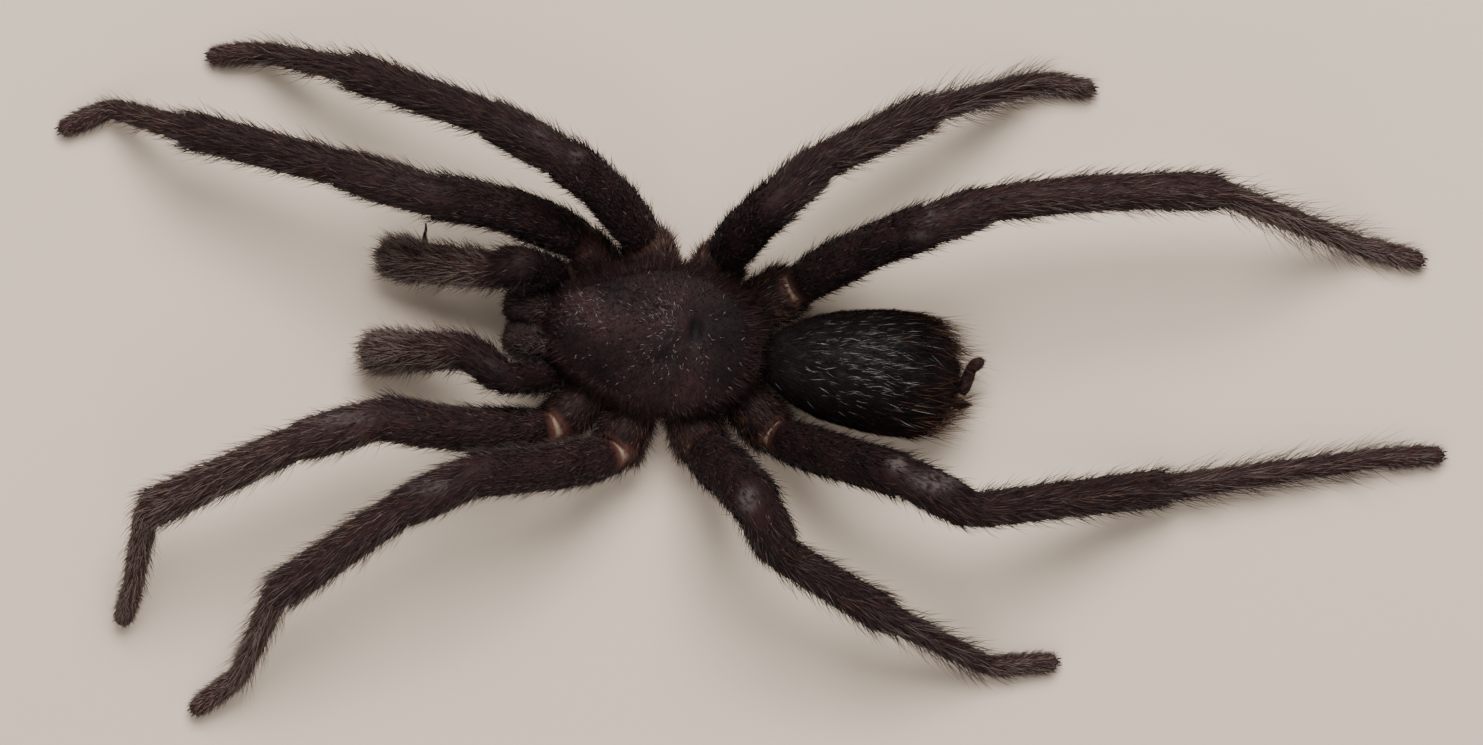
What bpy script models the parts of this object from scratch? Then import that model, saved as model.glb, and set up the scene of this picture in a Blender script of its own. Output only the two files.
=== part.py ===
"""Tarantula specimen: an adult male spider lying dry with its legs spread.

The head points to -X, the tail to +X, the spider's right side to +Y, and up is +Z.
The abdomen and the leg tips rest on z = 0, and x = y = 0 is the middle of the whole spread.
All lengths and places below are in millimetres, and become metres when a mesh is made.
"""

import math
import random
from collections import namedtuple

import bmesh
import bpy
from mathutils import Vector

MM = 0.001
UP = Vector((0.0, 0.0, 1.0))
SEED = 11

# Shift that brings the middle of the spread to x = y = 0
SPREAD_MIDDLE = Vector((-0.054, -0.078, 0.0))

# The chest: its middle, and the way its tail end points, seen from above
CHEST_PLACE = Vector((-6.6, 2.75, 0.0))
CHEST_TURN = math.radians(-8.0)

# Back shield: half widths at places along the chest, from the head end to the tail end
SHIELD_OUTLINE = (
    (-6.6, 1.3), (-6.35, 2.1), (-5.3, 2.7), (-3.6, 3.4), (-1.6, 4.2), (0.4, 4.8),
    (2.4, 4.8), (4.2, 4.2), (5.8, 3.2), (6.8, 1.6),
)
SHIELD_RIM_Z = 4.6
SHIELD_RIM_THICKNESS = 0.4
SHIELD_DOME = 1.7
SHIELD_UNDERSIDE = 0.9
RIM_ROUNDING = 0.1
HEAD_SWELLING = 0.5
HEAD_MIDDLE = -4.0
HEAD_SPREAD = (2.4, 2.0)
FOVEA_PLACE = (2.4, 0.5)
FOVEA_DEPTH = 0.45
FOVEA_REACH = 1.0
EYE_MOUND_PLACE = (-5.6, 0.0)
EYE_MOUND_HEIGHT = 0.45
DOME_RINGS = (0.94, 0.82, 0.66, 0.48, 0.3, 0.14)

# Trunk below the shield, between the coxae, and the chest plate under it
TRUNK_SIZE = (2.9, 1.8)
TRUNK_Z = (2.2, 4.4)
STERNUM_SIZE = (3.0, 2.2)
STERNUM_LEVELS = ((0.7, 1.1), (0.95, 1.3), (1.0, 1.65), (0.93, 1.85))
STERNUM_SIDES = 24
LIP_REACH = 1.3
LIP_HALF_ANGLE = math.radians(26.0)

# Abdomen: place and direction of its waist end, then stations of length, width and height
WAIST_PLACE = Vector((0.8, 1.3, 3.4))
ABDOMEN_TURN = math.radians(-6.5)
ABDOMEN_SIDES = 20
ABDOMEN_STATIONS = (
    (-0.2, 1.6, 1.4), (0.2, 3.0, 2.4), (0.9, 5.0, 4.2), (2.2, 6.7, 5.8), (4.0, 7.5, 6.8),
    (5.8, 7.9, 7.2), (7.6, 8.0, 7.3), (9.4, 7.8, 7.0), (10.9, 7.0, 6.0), (11.9, 5.4, 4.4),
    (12.5, 3.2, 2.6),
)
ABDOMEN_TUFT = (0.5, 2.0)
ABDOMEN_TUFT_GROWTH = (0.3, 1.0)
ABDOMEN_BARE_ROWS = 2
ABDOMEN_TUFTS_ABOVE_Z = 1.2

# Jaws: stations along the chest axis as (place, middle height, width, height)
JAW_STATIONS = (
    (-5.7, 2.9, 0.9, 1.4), (-6.4, 3.0, 1.7, 2.1), (-7.2, 3.5, 2.15, 3.3), (-7.9, 3.8, 2.2, 4.0),
    (-8.7, 3.5, 2.1, 3.6), (-9.3, 3.1, 1.5, 2.2),
)
JAW_OFFSET = 1.2
JAW_SHIFT = -0.25
JAW_SIDES = 12
SPINDLE_SIDES = 8
FANG_STATIONS = (
    (-9.1, 1.3, 0.7), (-8.7, 0.95, 0.6), (-8.0, 0.75, 0.45), (-7.3, 0.75, 0.28), (-6.7, 0.85, 0.1),
)

# Joints of each leg, from the hip out: hip, trochanter, knee, patella end, tibia end,
# metatarsus end and tip
LEG_JOINTS = {
    "leg_1_right": (
        (-8.3, 5.5, 2.7), (-11.0, 8.9, 3.3), (-20.3, 11.7, 10.2), (-26.7, 13.6, 9.4),
        (-36.8, 16.2, 6.0), (-41.8, 17.7, 1.0), (-45.3, 16.3, 0.5),
    ),
    "leg_2_right": (
        (-5.7, 5.6, 2.7), (-7.5, 9.2, 3.3), (-12.0, 14.1, 11.9), (-17.0, 16.8, 10.4),
        (-26.1, 20.0, 6.4), (-31.9, 21.3, 1.4), (-35.6, 21.0, 0.5),
    ),
    "leg_3_right": (
        (-4.2, 5.0, 2.7), (-1.8, 8.0, 3.3), (1.7, 11.4, 12.0), (4.4, 13.9, 9.4),
        (11.6, 17.4, 6.6), (18.7, 19.5, 0.8), (22.5, 18.9, 0.5),
    ),
    "leg_4_right": (
        (-2.6, 3.7, 2.7), (3.0, 6.0, 3.2), (11.3, 9.8, 11.4), (15.3, 11.2, 10.6),
        (30.1, 12.0, 9.8), (39.8, 8.6, 0.8), (44.0, 7.6, 0.5),
    ),
    "leg_1_left": (
        (-8.8, 0.6, 2.7), (-13.0, -3.3, 3.2), (-23.6, -2.5, 9.0), (-29.3, -4.1, 10.2),
        (-39.0, -8.5, 8.0), (-40.2, -13.5, 3.4), (-41.1, -16.0, 0.5),
    ),
    "leg_2_left": (
        (-7.0, 0.0, 2.8), (-9.2, -5.0, 3.2), (-17.6, -6.1, 10.6), (-22.6, -8.4, 10.0),
        (-30.7, -13.9, 7.4), (-33.4, -19.4, 2.2), (-36.6, -21.8, 0.5),
    ),
    "leg_3_left": (
        (-5.1, -0.1, 2.8), (-2.8, -4.7, 3.2), (0.3, -7.9, 12.0), (1.8, -11.2, 9.2),
        (8.8, -15.4, 6.4), (15.5, -18.8, 0.8), (20.1, -18.5, 0.5),
    ),
    "leg_4_left": (
        (-3.2, 0.7, 2.8), (1.7, -3.8, 3.0), (9.7, -6.2, 11.6), (14.2, -8.5, 9.4),
        (27.0, -7.1, 1.8), (41.0, -5.2, 0.8), (45.3, -5.0, 0.5),
    ),
}
# How far the femur and the tibia of each limb bow to the right, looking out along the limb
LIMB_BOWS = {
    "leg_1_right": (0.5, 0.0), "leg_2_right": (0.35, 0.0), "leg_3_right": (-0.15, 0.0),
    "leg_4_right": (-0.3, -0.35), "leg_1_left": (-0.4, 0.0), "leg_2_left": (-0.2, 0.0),
    "leg_3_left": (-0.1, 0.0), "leg_4_left": (0.1, 0.0), "palp_right": (0.0, 0.0),
    "palp_left": (0.0, 0.0),
}
# Widths over the short hair: coxa, femur, patella, tibia, metatarsus and tarsus
LEG_GIRTHS = (2.9, 3.0, 2.8, 2.4, 1.6, 1.4)
STOUT_LEG_GIRTHS = (2.9, 3.4, 3.0, 2.35, 1.6, 1.4)
FEMUR_ARCH = 0.5
LIMB_SIDES = 10
LIMB_TUFT = (0.7, 1.6)

# Locks of hair: one face in this many carries one, and their sizes scatter between two shares
TUFT_SPACING = 3
TUFT_SCATTER = (0.7, 1.1)
TUFT_LOWEST_Z = 0.02

PALP_JOINTS = {
    "palp_right": (
        (-10.3, 4.9, 2.6), (-12.6, 6.6, 2.9), (-14.6, 7.2, 8.3), (-16.5, 7.0, 7.0),
        (-21.1, 7.5, 3.9), (-24.2, 8.1, 1.9),
    ),
    "palp_left": (
        (-10.6, 1.9, 2.6), (-12.7, 0.2, 2.9), (-16.0, 0.0, 7.8), (-18.3, 1.8, 7.0),
        (-21.8, 1.8, 3.9), (-25.4, 1.7, 1.9),
    ),
}
# Widths over the short hair: coxa, femur, patella, tibia and tarsus
PALP_GIRTHS = (1.8, 2.1, 2.4, 2.5, 2.7)

# Bulb under each palp's last joint, with the thin spike that it carries
BULB_STATIONS = {
    "palp_bulb_right": (
        (-20.2, 6.9, 1.2, 0.4), (-20.6, 7.3, 1.1, 1.1), (-21.0, 7.8, 1.0, 1.4),
        (-21.2, 8.3, 1.1, 1.0), (-21.3, 8.8, 1.4, 0.5), (-21.3, 9.3, 1.8, 0.28),
        (-21.2, 9.7, 2.2, 0.2), (-21.2, 10.1, 2.6, 0.1),
    ),
    "palp_bulb_left": (
        (-20.6, 2.3, 1.2, 0.4), (-21.1, 1.9, 1.1, 1.1), (-21.6, 1.5, 1.0, 1.4),
        (-21.9, 1.0, 0.9, 0.9), (-22.1, 0.6, 0.8, 0.4), (-22.4, 0.3, 0.8, 0.22),
        (-22.8, 0.2, 0.9, 0.1),
    ),
}

SPINNERET_STATIONS = {
    "spinneret_right": (
        (13.65, -1.0, 3.0, 0.7), (13.85, -0.5, 2.9, 0.95), (14.1, 0.1, 2.8, 0.9),
        (14.3, 0.6, 2.8, 0.85), (14.6, 0.9, 2.9, 0.95), (14.9, 1.1, 3.0, 0.7),
        (15.1, 1.15, 3.1, 0.3),
    ),
    "spinneret_left": (
        (12.9, -1.6, 1.1, 0.5), (13.3, -1.6, 1.0, 0.75), (13.7, -1.7, 0.95, 0.7),
        (14.1, -1.7, 0.9, 0.35),
    ),
}

# Rings along each kind of segment: how far along it, and the share of its width
COXA_RINGS = ((0.0, 0.6), (0.35, 0.84), (0.75, 0.98))
FEMUR_RINGS = ((0.0, 0.82), (0.14, 0.98), (0.38, 1.02), (0.62, 0.95), (0.85, 1.0))
PATELLA_RINGS = ((0.0, 0.92), (0.34, 1.0), (0.7, 1.0))
TIBIA_RINGS = ((0.0, 0.96), (0.12, 0.98), (0.38, 1.0), (0.64, 1.0), (0.9, 1.06))
METATARSUS_RINGS = ((0.0, 1.15), (0.1, 1.05), (0.35, 1.0), (0.65, 0.92), (0.93, 0.86))
TARSUS_RINGS = ((0.0, 0.95), (0.2, 1.0), (0.6, 1.02), (0.9, 0.85), (1.0, 0.5))
PALP_TARSUS_RINGS = ((0.0, 0.9), (0.25, 1.0), (0.6, 1.02), (0.88, 0.85), (1.0, 0.5))
LEG_RINGS = (COXA_RINGS, FEMUR_RINGS, PATELLA_RINGS, TIBIA_RINGS, METATARSUS_RINGS, TARSUS_RINGS)
PALP_RINGS = (COXA_RINGS, FEMUR_RINGS, PATELLA_RINGS[:2], TIBIA_RINGS, PALP_TARSUS_RINGS)
FEMUR = 1
TIBIA = 3

SHELL = ("carapace", (0.030, 0.016, 0.014), 0.45)
BODY_HAIR = ("abdomen hair", (0.014, 0.012, 0.013), 0.6)
LEG_HAIR = ("leg hair", (0.032, 0.021, 0.018), 0.7)
DARK_SHELL = ("dark shell", (0.012, 0.008, 0.007), 0.3)

Ring = namedtuple("Ring", "centre width height segment")


def clear_scene():
    """Remove whatever the scene holds."""
    for thing in list(bpy.data.objects):
        bpy.data.objects.remove(thing, do_unlink=True)


def finish(name, mesh_data, look):
    """Turn a bmesh in millimetres into a named object in metres with its own material."""
    bmesh.ops.translate(mesh_data, vec=-SPREAD_MIDDLE, verts=mesh_data.verts)
    bmesh.ops.scale(mesh_data, vec=(MM, MM, MM), verts=mesh_data.verts)
    bmesh.ops.recalc_face_normals(mesh_data, faces=mesh_data.faces)
    mesh = bpy.data.meshes.new(name)
    mesh_data.to_mesh(mesh)
    mesh_data.free()
    mesh.shade_smooth()
    mesh.set_sharp_from_angle(angle=math.radians(50.0))

    look_name, colour, roughness = look
    material = bpy.data.materials.new(f"{name} {look_name}")
    material.use_nodes = True
    shader = material.node_tree.nodes["Principled BSDF"]
    shader.inputs["Base Color"].default_value = (*colour, 1.0)
    shader.inputs["Roughness"].default_value = roughness
    shader.inputs["Metallic"].default_value = 0.0
    mesh.materials.append(material)

    thing = bpy.data.objects.new(name, mesh)
    bpy.context.collection.objects.link(thing)
    return thing


def on_chest(along, across, z):
    """A place in the chest's own directions: along to the tail, across to the right, and up."""
    x = along * math.cos(CHEST_TURN) - across * math.sin(CHEST_TURN)
    y = along * math.sin(CHEST_TURN) + across * math.cos(CHEST_TURN)
    return CHEST_PLACE + Vector((x, y, z))


def bridge(mesh_data, rings):
    """Skin a row of rings of equal point counts, and close both ends with a fan."""
    loops = [[mesh_data.verts.new(point) for point in ring] for ring in rings]
    bands = []
    for near, far in zip(loops, loops[1:]):
        count = len(near)
        band = []
        for i in range(count):
            j = (i + 1) % count
            band.append(mesh_data.faces.new((near[i], far[i], far[j], near[j])))
        bands.append(band)
    ends = [mesh_data.faces.new(loops[0]), mesh_data.faces.new(reversed(loops[-1]))]
    bmesh.ops.poke(mesh_data, faces=ends)
    return bands


def oval(ring, forward, sides):
    """Points of an oval ring square to `forward`; none of them goes below the floor."""
    side = forward.cross(UP).normalized()
    top = side.cross(forward).normalized()
    points = []
    for i in range(sides):
        angle = 2.0 * math.pi * (i + 0.5) / sides
        point = ring.centre + side * (ring.width / 2.0 * math.cos(angle))
        point = point + top * (ring.height / 2.0 * math.sin(angle))
        points.append(Vector((point.x, point.y, max(point.z, 0.0))))
    return points


def directions(rings):
    """The way each ring faces: the bisector of the two runs that meet there."""
    centres = [ring.centre for ring in rings]
    runs = [(b - a).normalized() for a, b in zip(centres, centres[1:])]
    bisectors = [(a + b).normalized() for a, b in zip(runs, runs[1:])]
    return [runs[0], *bisectors, runs[-1]]


def grow_tuft(mesh_data, face, forward, rise, reach):
    """Raise one face to a point that leans forwards, as a lock of hair does."""
    lean = face.normal.copy()
    tip = bmesh.ops.poke(mesh_data, faces=[face])["verts"][0]
    tip.co += lean * rise + forward * reach
    tip.co.z = max(tip.co.z, TUFT_LOWEST_Z)


def limb_rings(joints, girths, profiles, bows):
    """Rings along a limb: straight runs between its joints, which bow sideways, and an arched femur."""
    joints = [Vector(joint) for joint in joints]
    rings = []
    for segment, profile in enumerate(profiles):
        start = joints[segment]
        run = joints[segment + 1] - start
        to_the_right = run.cross(UP).normalized()
        bow = {FEMUR: bows[0], TIBIA: bows[1]}.get(segment, 0.0)
        arch = FEMUR_ARCH if segment == FEMUR else 0.0
        for share_along, share_width in profile:
            swell = math.sin(math.pi * share_along)
            centre = start + run * share_along + (to_the_right * bow + UP * arch) * swell
            width = girths[segment] * share_width
            rings.append(Ring(centre, width, width, segment))
    return rings


def make_limb(name, joints, girths, profiles, seed):
    """One leg or palp: a tapered tube from the hip to the tip, with locks of hair on it."""
    chance = random.Random(seed)
    rings = limb_rings(joints, girths, profiles, LIMB_BOWS[name])
    forwards = directions(rings)
    mesh_data = bmesh.new()
    outlines = [oval(ring, forward, LIMB_SIDES) for ring, forward in zip(rings, forwards)]
    bands = bridge(mesh_data, outlines)
    mesh_data.normal_update()

    rise, reach = LIMB_TUFT
    last_segment = len(profiles) - 1
    for row, band in enumerate(bands):
        near, far = rings[row], rings[row + 1]
        inside_one_segment = near.segment == far.segment
        hairy = near.segment not in (0, last_segment) and inside_one_segment
        if not hairy:
            continue
        for i, face in enumerate(band):
            if (i + 2 * row) % TUFT_SPACING:
                continue
            scale = chance.uniform(*TUFT_SCATTER) * near.width / LEG_GIRTHS[FEMUR]
            grow_tuft(mesh_data, face, forwards[row + 1], rise * scale, reach * scale)
    return finish(name, mesh_data, LEG_HAIR)


def make_spindle(name, stations, look):
    """A small round piece along a hand-drawn path of (x, y, z, width) stations."""
    rings = [Ring(Vector(station[:3]), station[3], station[3], 0) for station in stations]
    forwards = directions(rings)
    mesh_data = bmesh.new()
    bridge(mesh_data, [oval(ring, forward, SPINDLE_SIDES) for ring, forward in zip(rings, forwards)])
    return finish(name, mesh_data, look)


def shield_height(along, across, share):
    """Height of the dome above the rim: a rounded cap, the raised head and the sunken fovea."""
    dome = SHIELD_DOME * math.sqrt(1.0 - share * share)
    head_along = (along - HEAD_MIDDLE) / HEAD_SPREAD[0]
    head_across = across / HEAD_SPREAD[1]
    head = HEAD_SWELLING * math.exp(-head_along ** 2 - head_across ** 2)
    gap_along = along - FOVEA_PLACE[0]
    gap_across = across - FOVEA_PLACE[1]
    fovea = FOVEA_DEPTH * math.exp(-(gap_along ** 2 + gap_across ** 2) / FOVEA_REACH ** 2)
    return dome + head * (1.0 - share) - fovea * (1.0 - share)


def make_cephalothorax():
    """The domed back shield with its rim, and the trunk below it that the legs stand around."""
    right = [Vector(place) for place in SHIELD_OUTLINE]
    left = [Vector((along, -across)) for along, across in reversed(SHIELD_OUTLINE)]
    outline = right + left
    half_length = max(p.x for p in outline)
    half_width = max(p.y for p in outline)
    rim_top = SHIELD_RIM_Z + SHIELD_RIM_THICKNESS

    def level(share, z):
        return [on_chest(p.x * share, p.y * share, z) for p in outline]

    def trunk(z):
        length, width = TRUNK_SIZE
        angles = [math.atan2(p.y / half_width, p.x / half_length) for p in outline]
        return [on_chest(length * math.cos(angle), width * math.sin(angle), z) for angle in angles]

    rings = [trunk(z) for z in TRUNK_Z]
    rings.append(level(SHIELD_UNDERSIDE, SHIELD_RIM_Z))
    rings.append(level(1.0, SHIELD_RIM_Z + RIM_ROUNDING))
    rings.append(level(1.0, rim_top))
    for share in DOME_RINGS:
        rings.append([
            on_chest(p.x * share, p.y * share, rim_top + shield_height(p.x * share, p.y * share, share))
            for p in outline
        ])
    mesh_data = bmesh.new()
    bands = bridge(mesh_data, rings)
    mesh_data.normal_update()

    eye_place = on_chest(*EYE_MOUND_PLACE, 0.0).xy
    first_dome_band = bands[-len(DOME_RINGS)]
    mound = min(first_dome_band, key=lambda face: (face.calc_center_median().xy - eye_place).length)
    grow_tuft(mesh_data, mound, UP, 0.0, EYE_MOUND_HEIGHT)
    return finish("cephalothorax", mesh_data, SHELL)


def make_sternum():
    """The oval chest plate, with the lip as a rounded tongue at its head end."""
    length, width = STERNUM_SIZE

    def level(share, z):
        points = []
        for i in range(STERNUM_SIDES):
            angle = 2.0 * math.pi * i / STERNUM_SIDES
            along = -length * math.cos(angle)
            across = width * math.sin(angle)
            if math.cos(angle) > math.cos(LIP_HALF_ANGLE):
                along -= LIP_REACH
            points.append(on_chest(along * share, across * share, z))
        return points

    mesh_data = bmesh.new()
    bridge(mesh_data, [level(share, z) for share, z in STERNUM_LEVELS])
    return finish("sternum", mesh_data, SHELL)


def make_abdomen():
    """The egg-shaped abdomen with its narrow waist, flat where it rests, and long hair behind."""
    chance = random.Random(SEED)
    forward = Vector((math.cos(ABDOMEN_TURN), math.sin(ABDOMEN_TURN), 0.0))
    rings = [
        Ring(WAIST_PLACE + forward * along, width, height, 0)
        for along, width, height in ABDOMEN_STATIONS
    ]
    mesh_data = bmesh.new()
    bands = bridge(mesh_data, [oval(ring, forward, ABDOMEN_SIDES) for ring in rings])
    mesh_data.normal_update()
    rise, reach = ABDOMEN_TUFT
    least, most = ABDOMEN_TUFT_GROWTH
    for row, band in enumerate(bands):
        if row < ABDOMEN_BARE_ROWS:
            continue
        growth = least + (most - least) * row / len(bands)
        for i, face in enumerate(band):
            above_floor = face.calc_center_median().z > ABDOMEN_TUFTS_ABOVE_Z
            if (i + 2 * row) % TUFT_SPACING or not above_floor:
                continue
            scale = growth * chance.uniform(*TUFT_SCATTER)
            grow_tuft(mesh_data, face, forward, rise * scale, reach * scale)
    return finish("abdomen", mesh_data, BODY_HAIR)


def make_jaw(name, side):
    """One chelicera: a deep rounded block whose rear end reaches under the shield."""
    rings = [
        Ring(on_chest(along, side * JAW_OFFSET + JAW_SHIFT, z), width, height, 0)
        for along, z, width, height in JAW_STATIONS
    ]
    forward = (rings[-1].centre - rings[0].centre).normalized()
    mesh_data = bmesh.new()
    bridge(mesh_data, [oval(ring, forward, JAW_SIDES) for ring in rings])
    return finish(name, mesh_data, LEG_HAIR)


def main():
    clear_scene()
    make_cephalothorax()
    make_sternum()
    make_abdomen()
    for side_name, side in (("right", 1.0), ("left", -1.0)):
        make_jaw(f"chelicera_{side_name}", side)
        across = side * JAW_OFFSET + JAW_SHIFT
        fang = [(*on_chest(along, across, z), width) for along, z, width in FANG_STATIONS]
        make_spindle(f"fang_{side_name}", fang, DARK_SHELL)
    for name, stations in SPINNERET_STATIONS.items():
        make_spindle(name, stations, BODY_HAIR)
    for name, stations in BULB_STATIONS.items():
        make_spindle(name, stations, DARK_SHELL)
    for seed, (name, joints) in enumerate(PALP_JOINTS.items()):
        make_limb(name, joints, PALP_GIRTHS, PALP_RINGS, SEED + seed)
    for seed, (name, joints) in enumerate(LEG_JOINTS.items()):
        girths = STOUT_LEG_GIRTHS if name == "leg_3_left" else LEG_GIRTHS
        make_limb(name, joints, girths, LEG_RINGS, SEED + len(PALP_JOINTS) + seed)


main()
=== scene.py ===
"""Tarantula specimen: its skins, hair and finishes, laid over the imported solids, with a studio.

The head points to -X, the spider's right side to +Y, and up is +Z.  The tables hold
millimetres; a mesh turns them into metres when it is made.
"""

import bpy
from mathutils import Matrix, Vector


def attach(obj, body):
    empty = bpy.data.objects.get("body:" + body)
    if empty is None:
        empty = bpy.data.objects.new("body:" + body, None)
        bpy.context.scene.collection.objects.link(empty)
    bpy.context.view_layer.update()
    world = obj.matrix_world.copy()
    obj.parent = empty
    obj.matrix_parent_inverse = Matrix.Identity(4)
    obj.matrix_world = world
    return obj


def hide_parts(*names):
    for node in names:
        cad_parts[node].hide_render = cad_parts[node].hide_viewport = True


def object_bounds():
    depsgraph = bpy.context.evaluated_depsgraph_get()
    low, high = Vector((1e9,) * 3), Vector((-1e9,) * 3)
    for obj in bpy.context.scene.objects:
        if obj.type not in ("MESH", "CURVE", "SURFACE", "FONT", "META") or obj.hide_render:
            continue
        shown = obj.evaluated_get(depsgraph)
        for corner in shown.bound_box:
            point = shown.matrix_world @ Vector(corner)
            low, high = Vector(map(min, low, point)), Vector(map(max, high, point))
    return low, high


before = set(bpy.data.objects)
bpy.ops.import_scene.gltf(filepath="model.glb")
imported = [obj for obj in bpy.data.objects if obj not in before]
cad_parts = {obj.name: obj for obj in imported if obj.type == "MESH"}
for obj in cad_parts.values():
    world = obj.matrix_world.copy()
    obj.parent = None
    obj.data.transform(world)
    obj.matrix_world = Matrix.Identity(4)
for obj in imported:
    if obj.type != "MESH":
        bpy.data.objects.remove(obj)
BOUNDS_BEFORE = [list(corner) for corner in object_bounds()]

from collections import namedtuple

import bpy
import numpy as np

bl_info = {
    "name": "Tarantula specimen",
    "version": (1, 0, 0),
    "blender": (4, 5, 0),
    "location": "3D View > Sidebar > Specimen",
    "description": "Builds a dry hairy spider with its legs spread, and a plain studio round it",
    "category": "Add Mesh",
}

MM = 0.001
UP = np.array((0.0, 0.0, 1.0))
SPREAD_MIDDLE = np.array((-0.057, -0.078, 0.0))
BODY = "root"

# Room that the hair may take round the solids' own box, in millimetres
HAIR_ROOM = np.array((1.9, 1.05, 0.3))
FLOOR_GAP = 0.03

CHEST_PLACE = np.array((-6.6, 2.75, 0.0))
CHEST_TURN = np.radians(-8.0)

# Back shield: half widths at places along the chest, from the head end to the tail end
SHIELD_OUTLINE = (
    (-6.6, 1.3), (-6.35, 2.1), (-5.3, 2.7), (-3.6, 3.4), (-1.6, 4.2), (0.4, 4.8),
    (2.4, 4.8), (4.2, 4.2), (5.8, 3.2), (6.8, 1.6),
)
SHIELD_RIM_Z = 4.6
SHIELD_RIM_THICKNESS = 0.4
SHIELD_DOME = 1.7
HEAD_SWELLING = 0.5
HEAD_MIDDLE = -4.0
HEAD_SPREAD = (2.4, 2.0)
FOVEA_PLACE = (2.9, 0.8)
FOVEA_DEPTH = 0.5
FOVEA_SPREAD = (0.45, 0.85)
EYE_MOUND_PLACE = (-5.6, 0.0)
EYE_MOUND_HEIGHT = 0.45
EYE_MOUND_SPREAD = (0.45, 0.75)
GROOVE_DEPTH = 0.09
GROOVE_ANGLES = np.radians((28.0, 62.0, 96.0, 132.0))
TRUNK_SIZE = (2.9, 1.8)
TRUNK_Z = (2.2, 4.4)

# Where the shield's hair is silvery, silver hair and painted glints both: how densely, place and spread along,
# place and spread across
SHIELD_FROST_AND_GLINT = (
    (1.0, 0.9, 1.3, 1.5, 1.5), (0.9, -4.5, 1.9, 1.0, 1.3), (0.9, 3.2, 0.6, 0.0, 1.1), (0.55, 0.5, 1.5, -1.3, 0.9),
)

# Painted shade on the shield, where it is darkest: how dark, place and spread along, place and spread across
SHIELD_SHADE = ((0.25, -3.1, 2.6, -1.6, 1.1), (0.9, 4.6, 1.7, 1.9, 2.6), (0.5, 4.6, 1.2, -1.6, 2.0))
# How much of each part of the silver colour the shield's hair has
SHIELD_SILVER = (0.95, 0.86, 0.79)

# Places of the eyes on the mound (along, across) and their radii
EYES = (
    (-5.95, 0.26, 0.15), (-5.95, -0.26, 0.15), (-6.05, 0.68, 0.17), (-6.05, -0.68, 0.17),
    (-5.62, 0.74, 0.13), (-5.62, -0.74, 0.13), (-5.5, 0.48, 0.1), (-5.5, -0.48, 0.1),
)

STERNUM_SIZE = (3.0, 2.2)
STERNUM_LEVELS = ((0.0, 1.1), (0.45, 1.1), (0.8, 1.15), (0.95, 1.35), (1.0, 1.6), (0.93, 1.85), (0.0, 1.85))
LIP_REACH = 1.3
LIP_HALF_ANGLE = np.radians(26.0)

WAIST_PLACE = np.array((0.8, 1.3, 3.4))
ABDOMEN_TURN = np.radians(-6.5)
ABDOMEN_STATIONS = (
    (-0.2, 1.4, 1.2), (0.2, 2.4, 2.2), (0.9, 3.7, 3.4), (1.9, 5.0, 4.6), (3.2, 6.2, 5.8),
    (4.8, 7.1, 6.6), (6.6, 7.7, 7.1), (8.4, 8.0, 7.2), (10.2, 7.6, 6.6), (11.4, 6.1, 4.9),
    (12.2, 3.3, 2.5), (12.4, 1.5, 1.1),
)
# Number of long hairs at the abdomen's two rear corners
REAR_TUFT = 340
# Book lung plates under the abdomen: place along it, place across it and half sizes
LUNG_PLATES = ((3.0, 1.5, 0.9, 0.7), (3.0, -1.5, 0.9, 0.7), (5.2, 1.6, 0.9, 0.65), (5.2, -1.6, 0.9, 0.65))

JAW_STATIONS = (
    (-5.7, 2.9, 0.8, 1.2), (-6.4, 3.0, 1.6, 2.0), (-7.2, 3.5, 2.05, 3.2), (-7.8, 3.8, 2.1, 3.9),
    (-8.4, 3.5, 2.1, 3.5), (-8.8, 3.15, 1.9, 2.5), (-9.0, 3.0, 1.5, 1.4),
)
# How far the left jaw's front stays behind the right one's
JAW_SETBACK = 0.25
JAW_OFFSET = 1.2
JAW_SHIFT = -0.25
FANG_STATIONS = (
    (-9.1, 1.3, 0.7), (-8.7, 0.95, 0.6), (-8.0, 0.75, 0.45), (-7.3, 0.75, 0.28), (-6.7, 0.85, 0.1),
)

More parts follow.
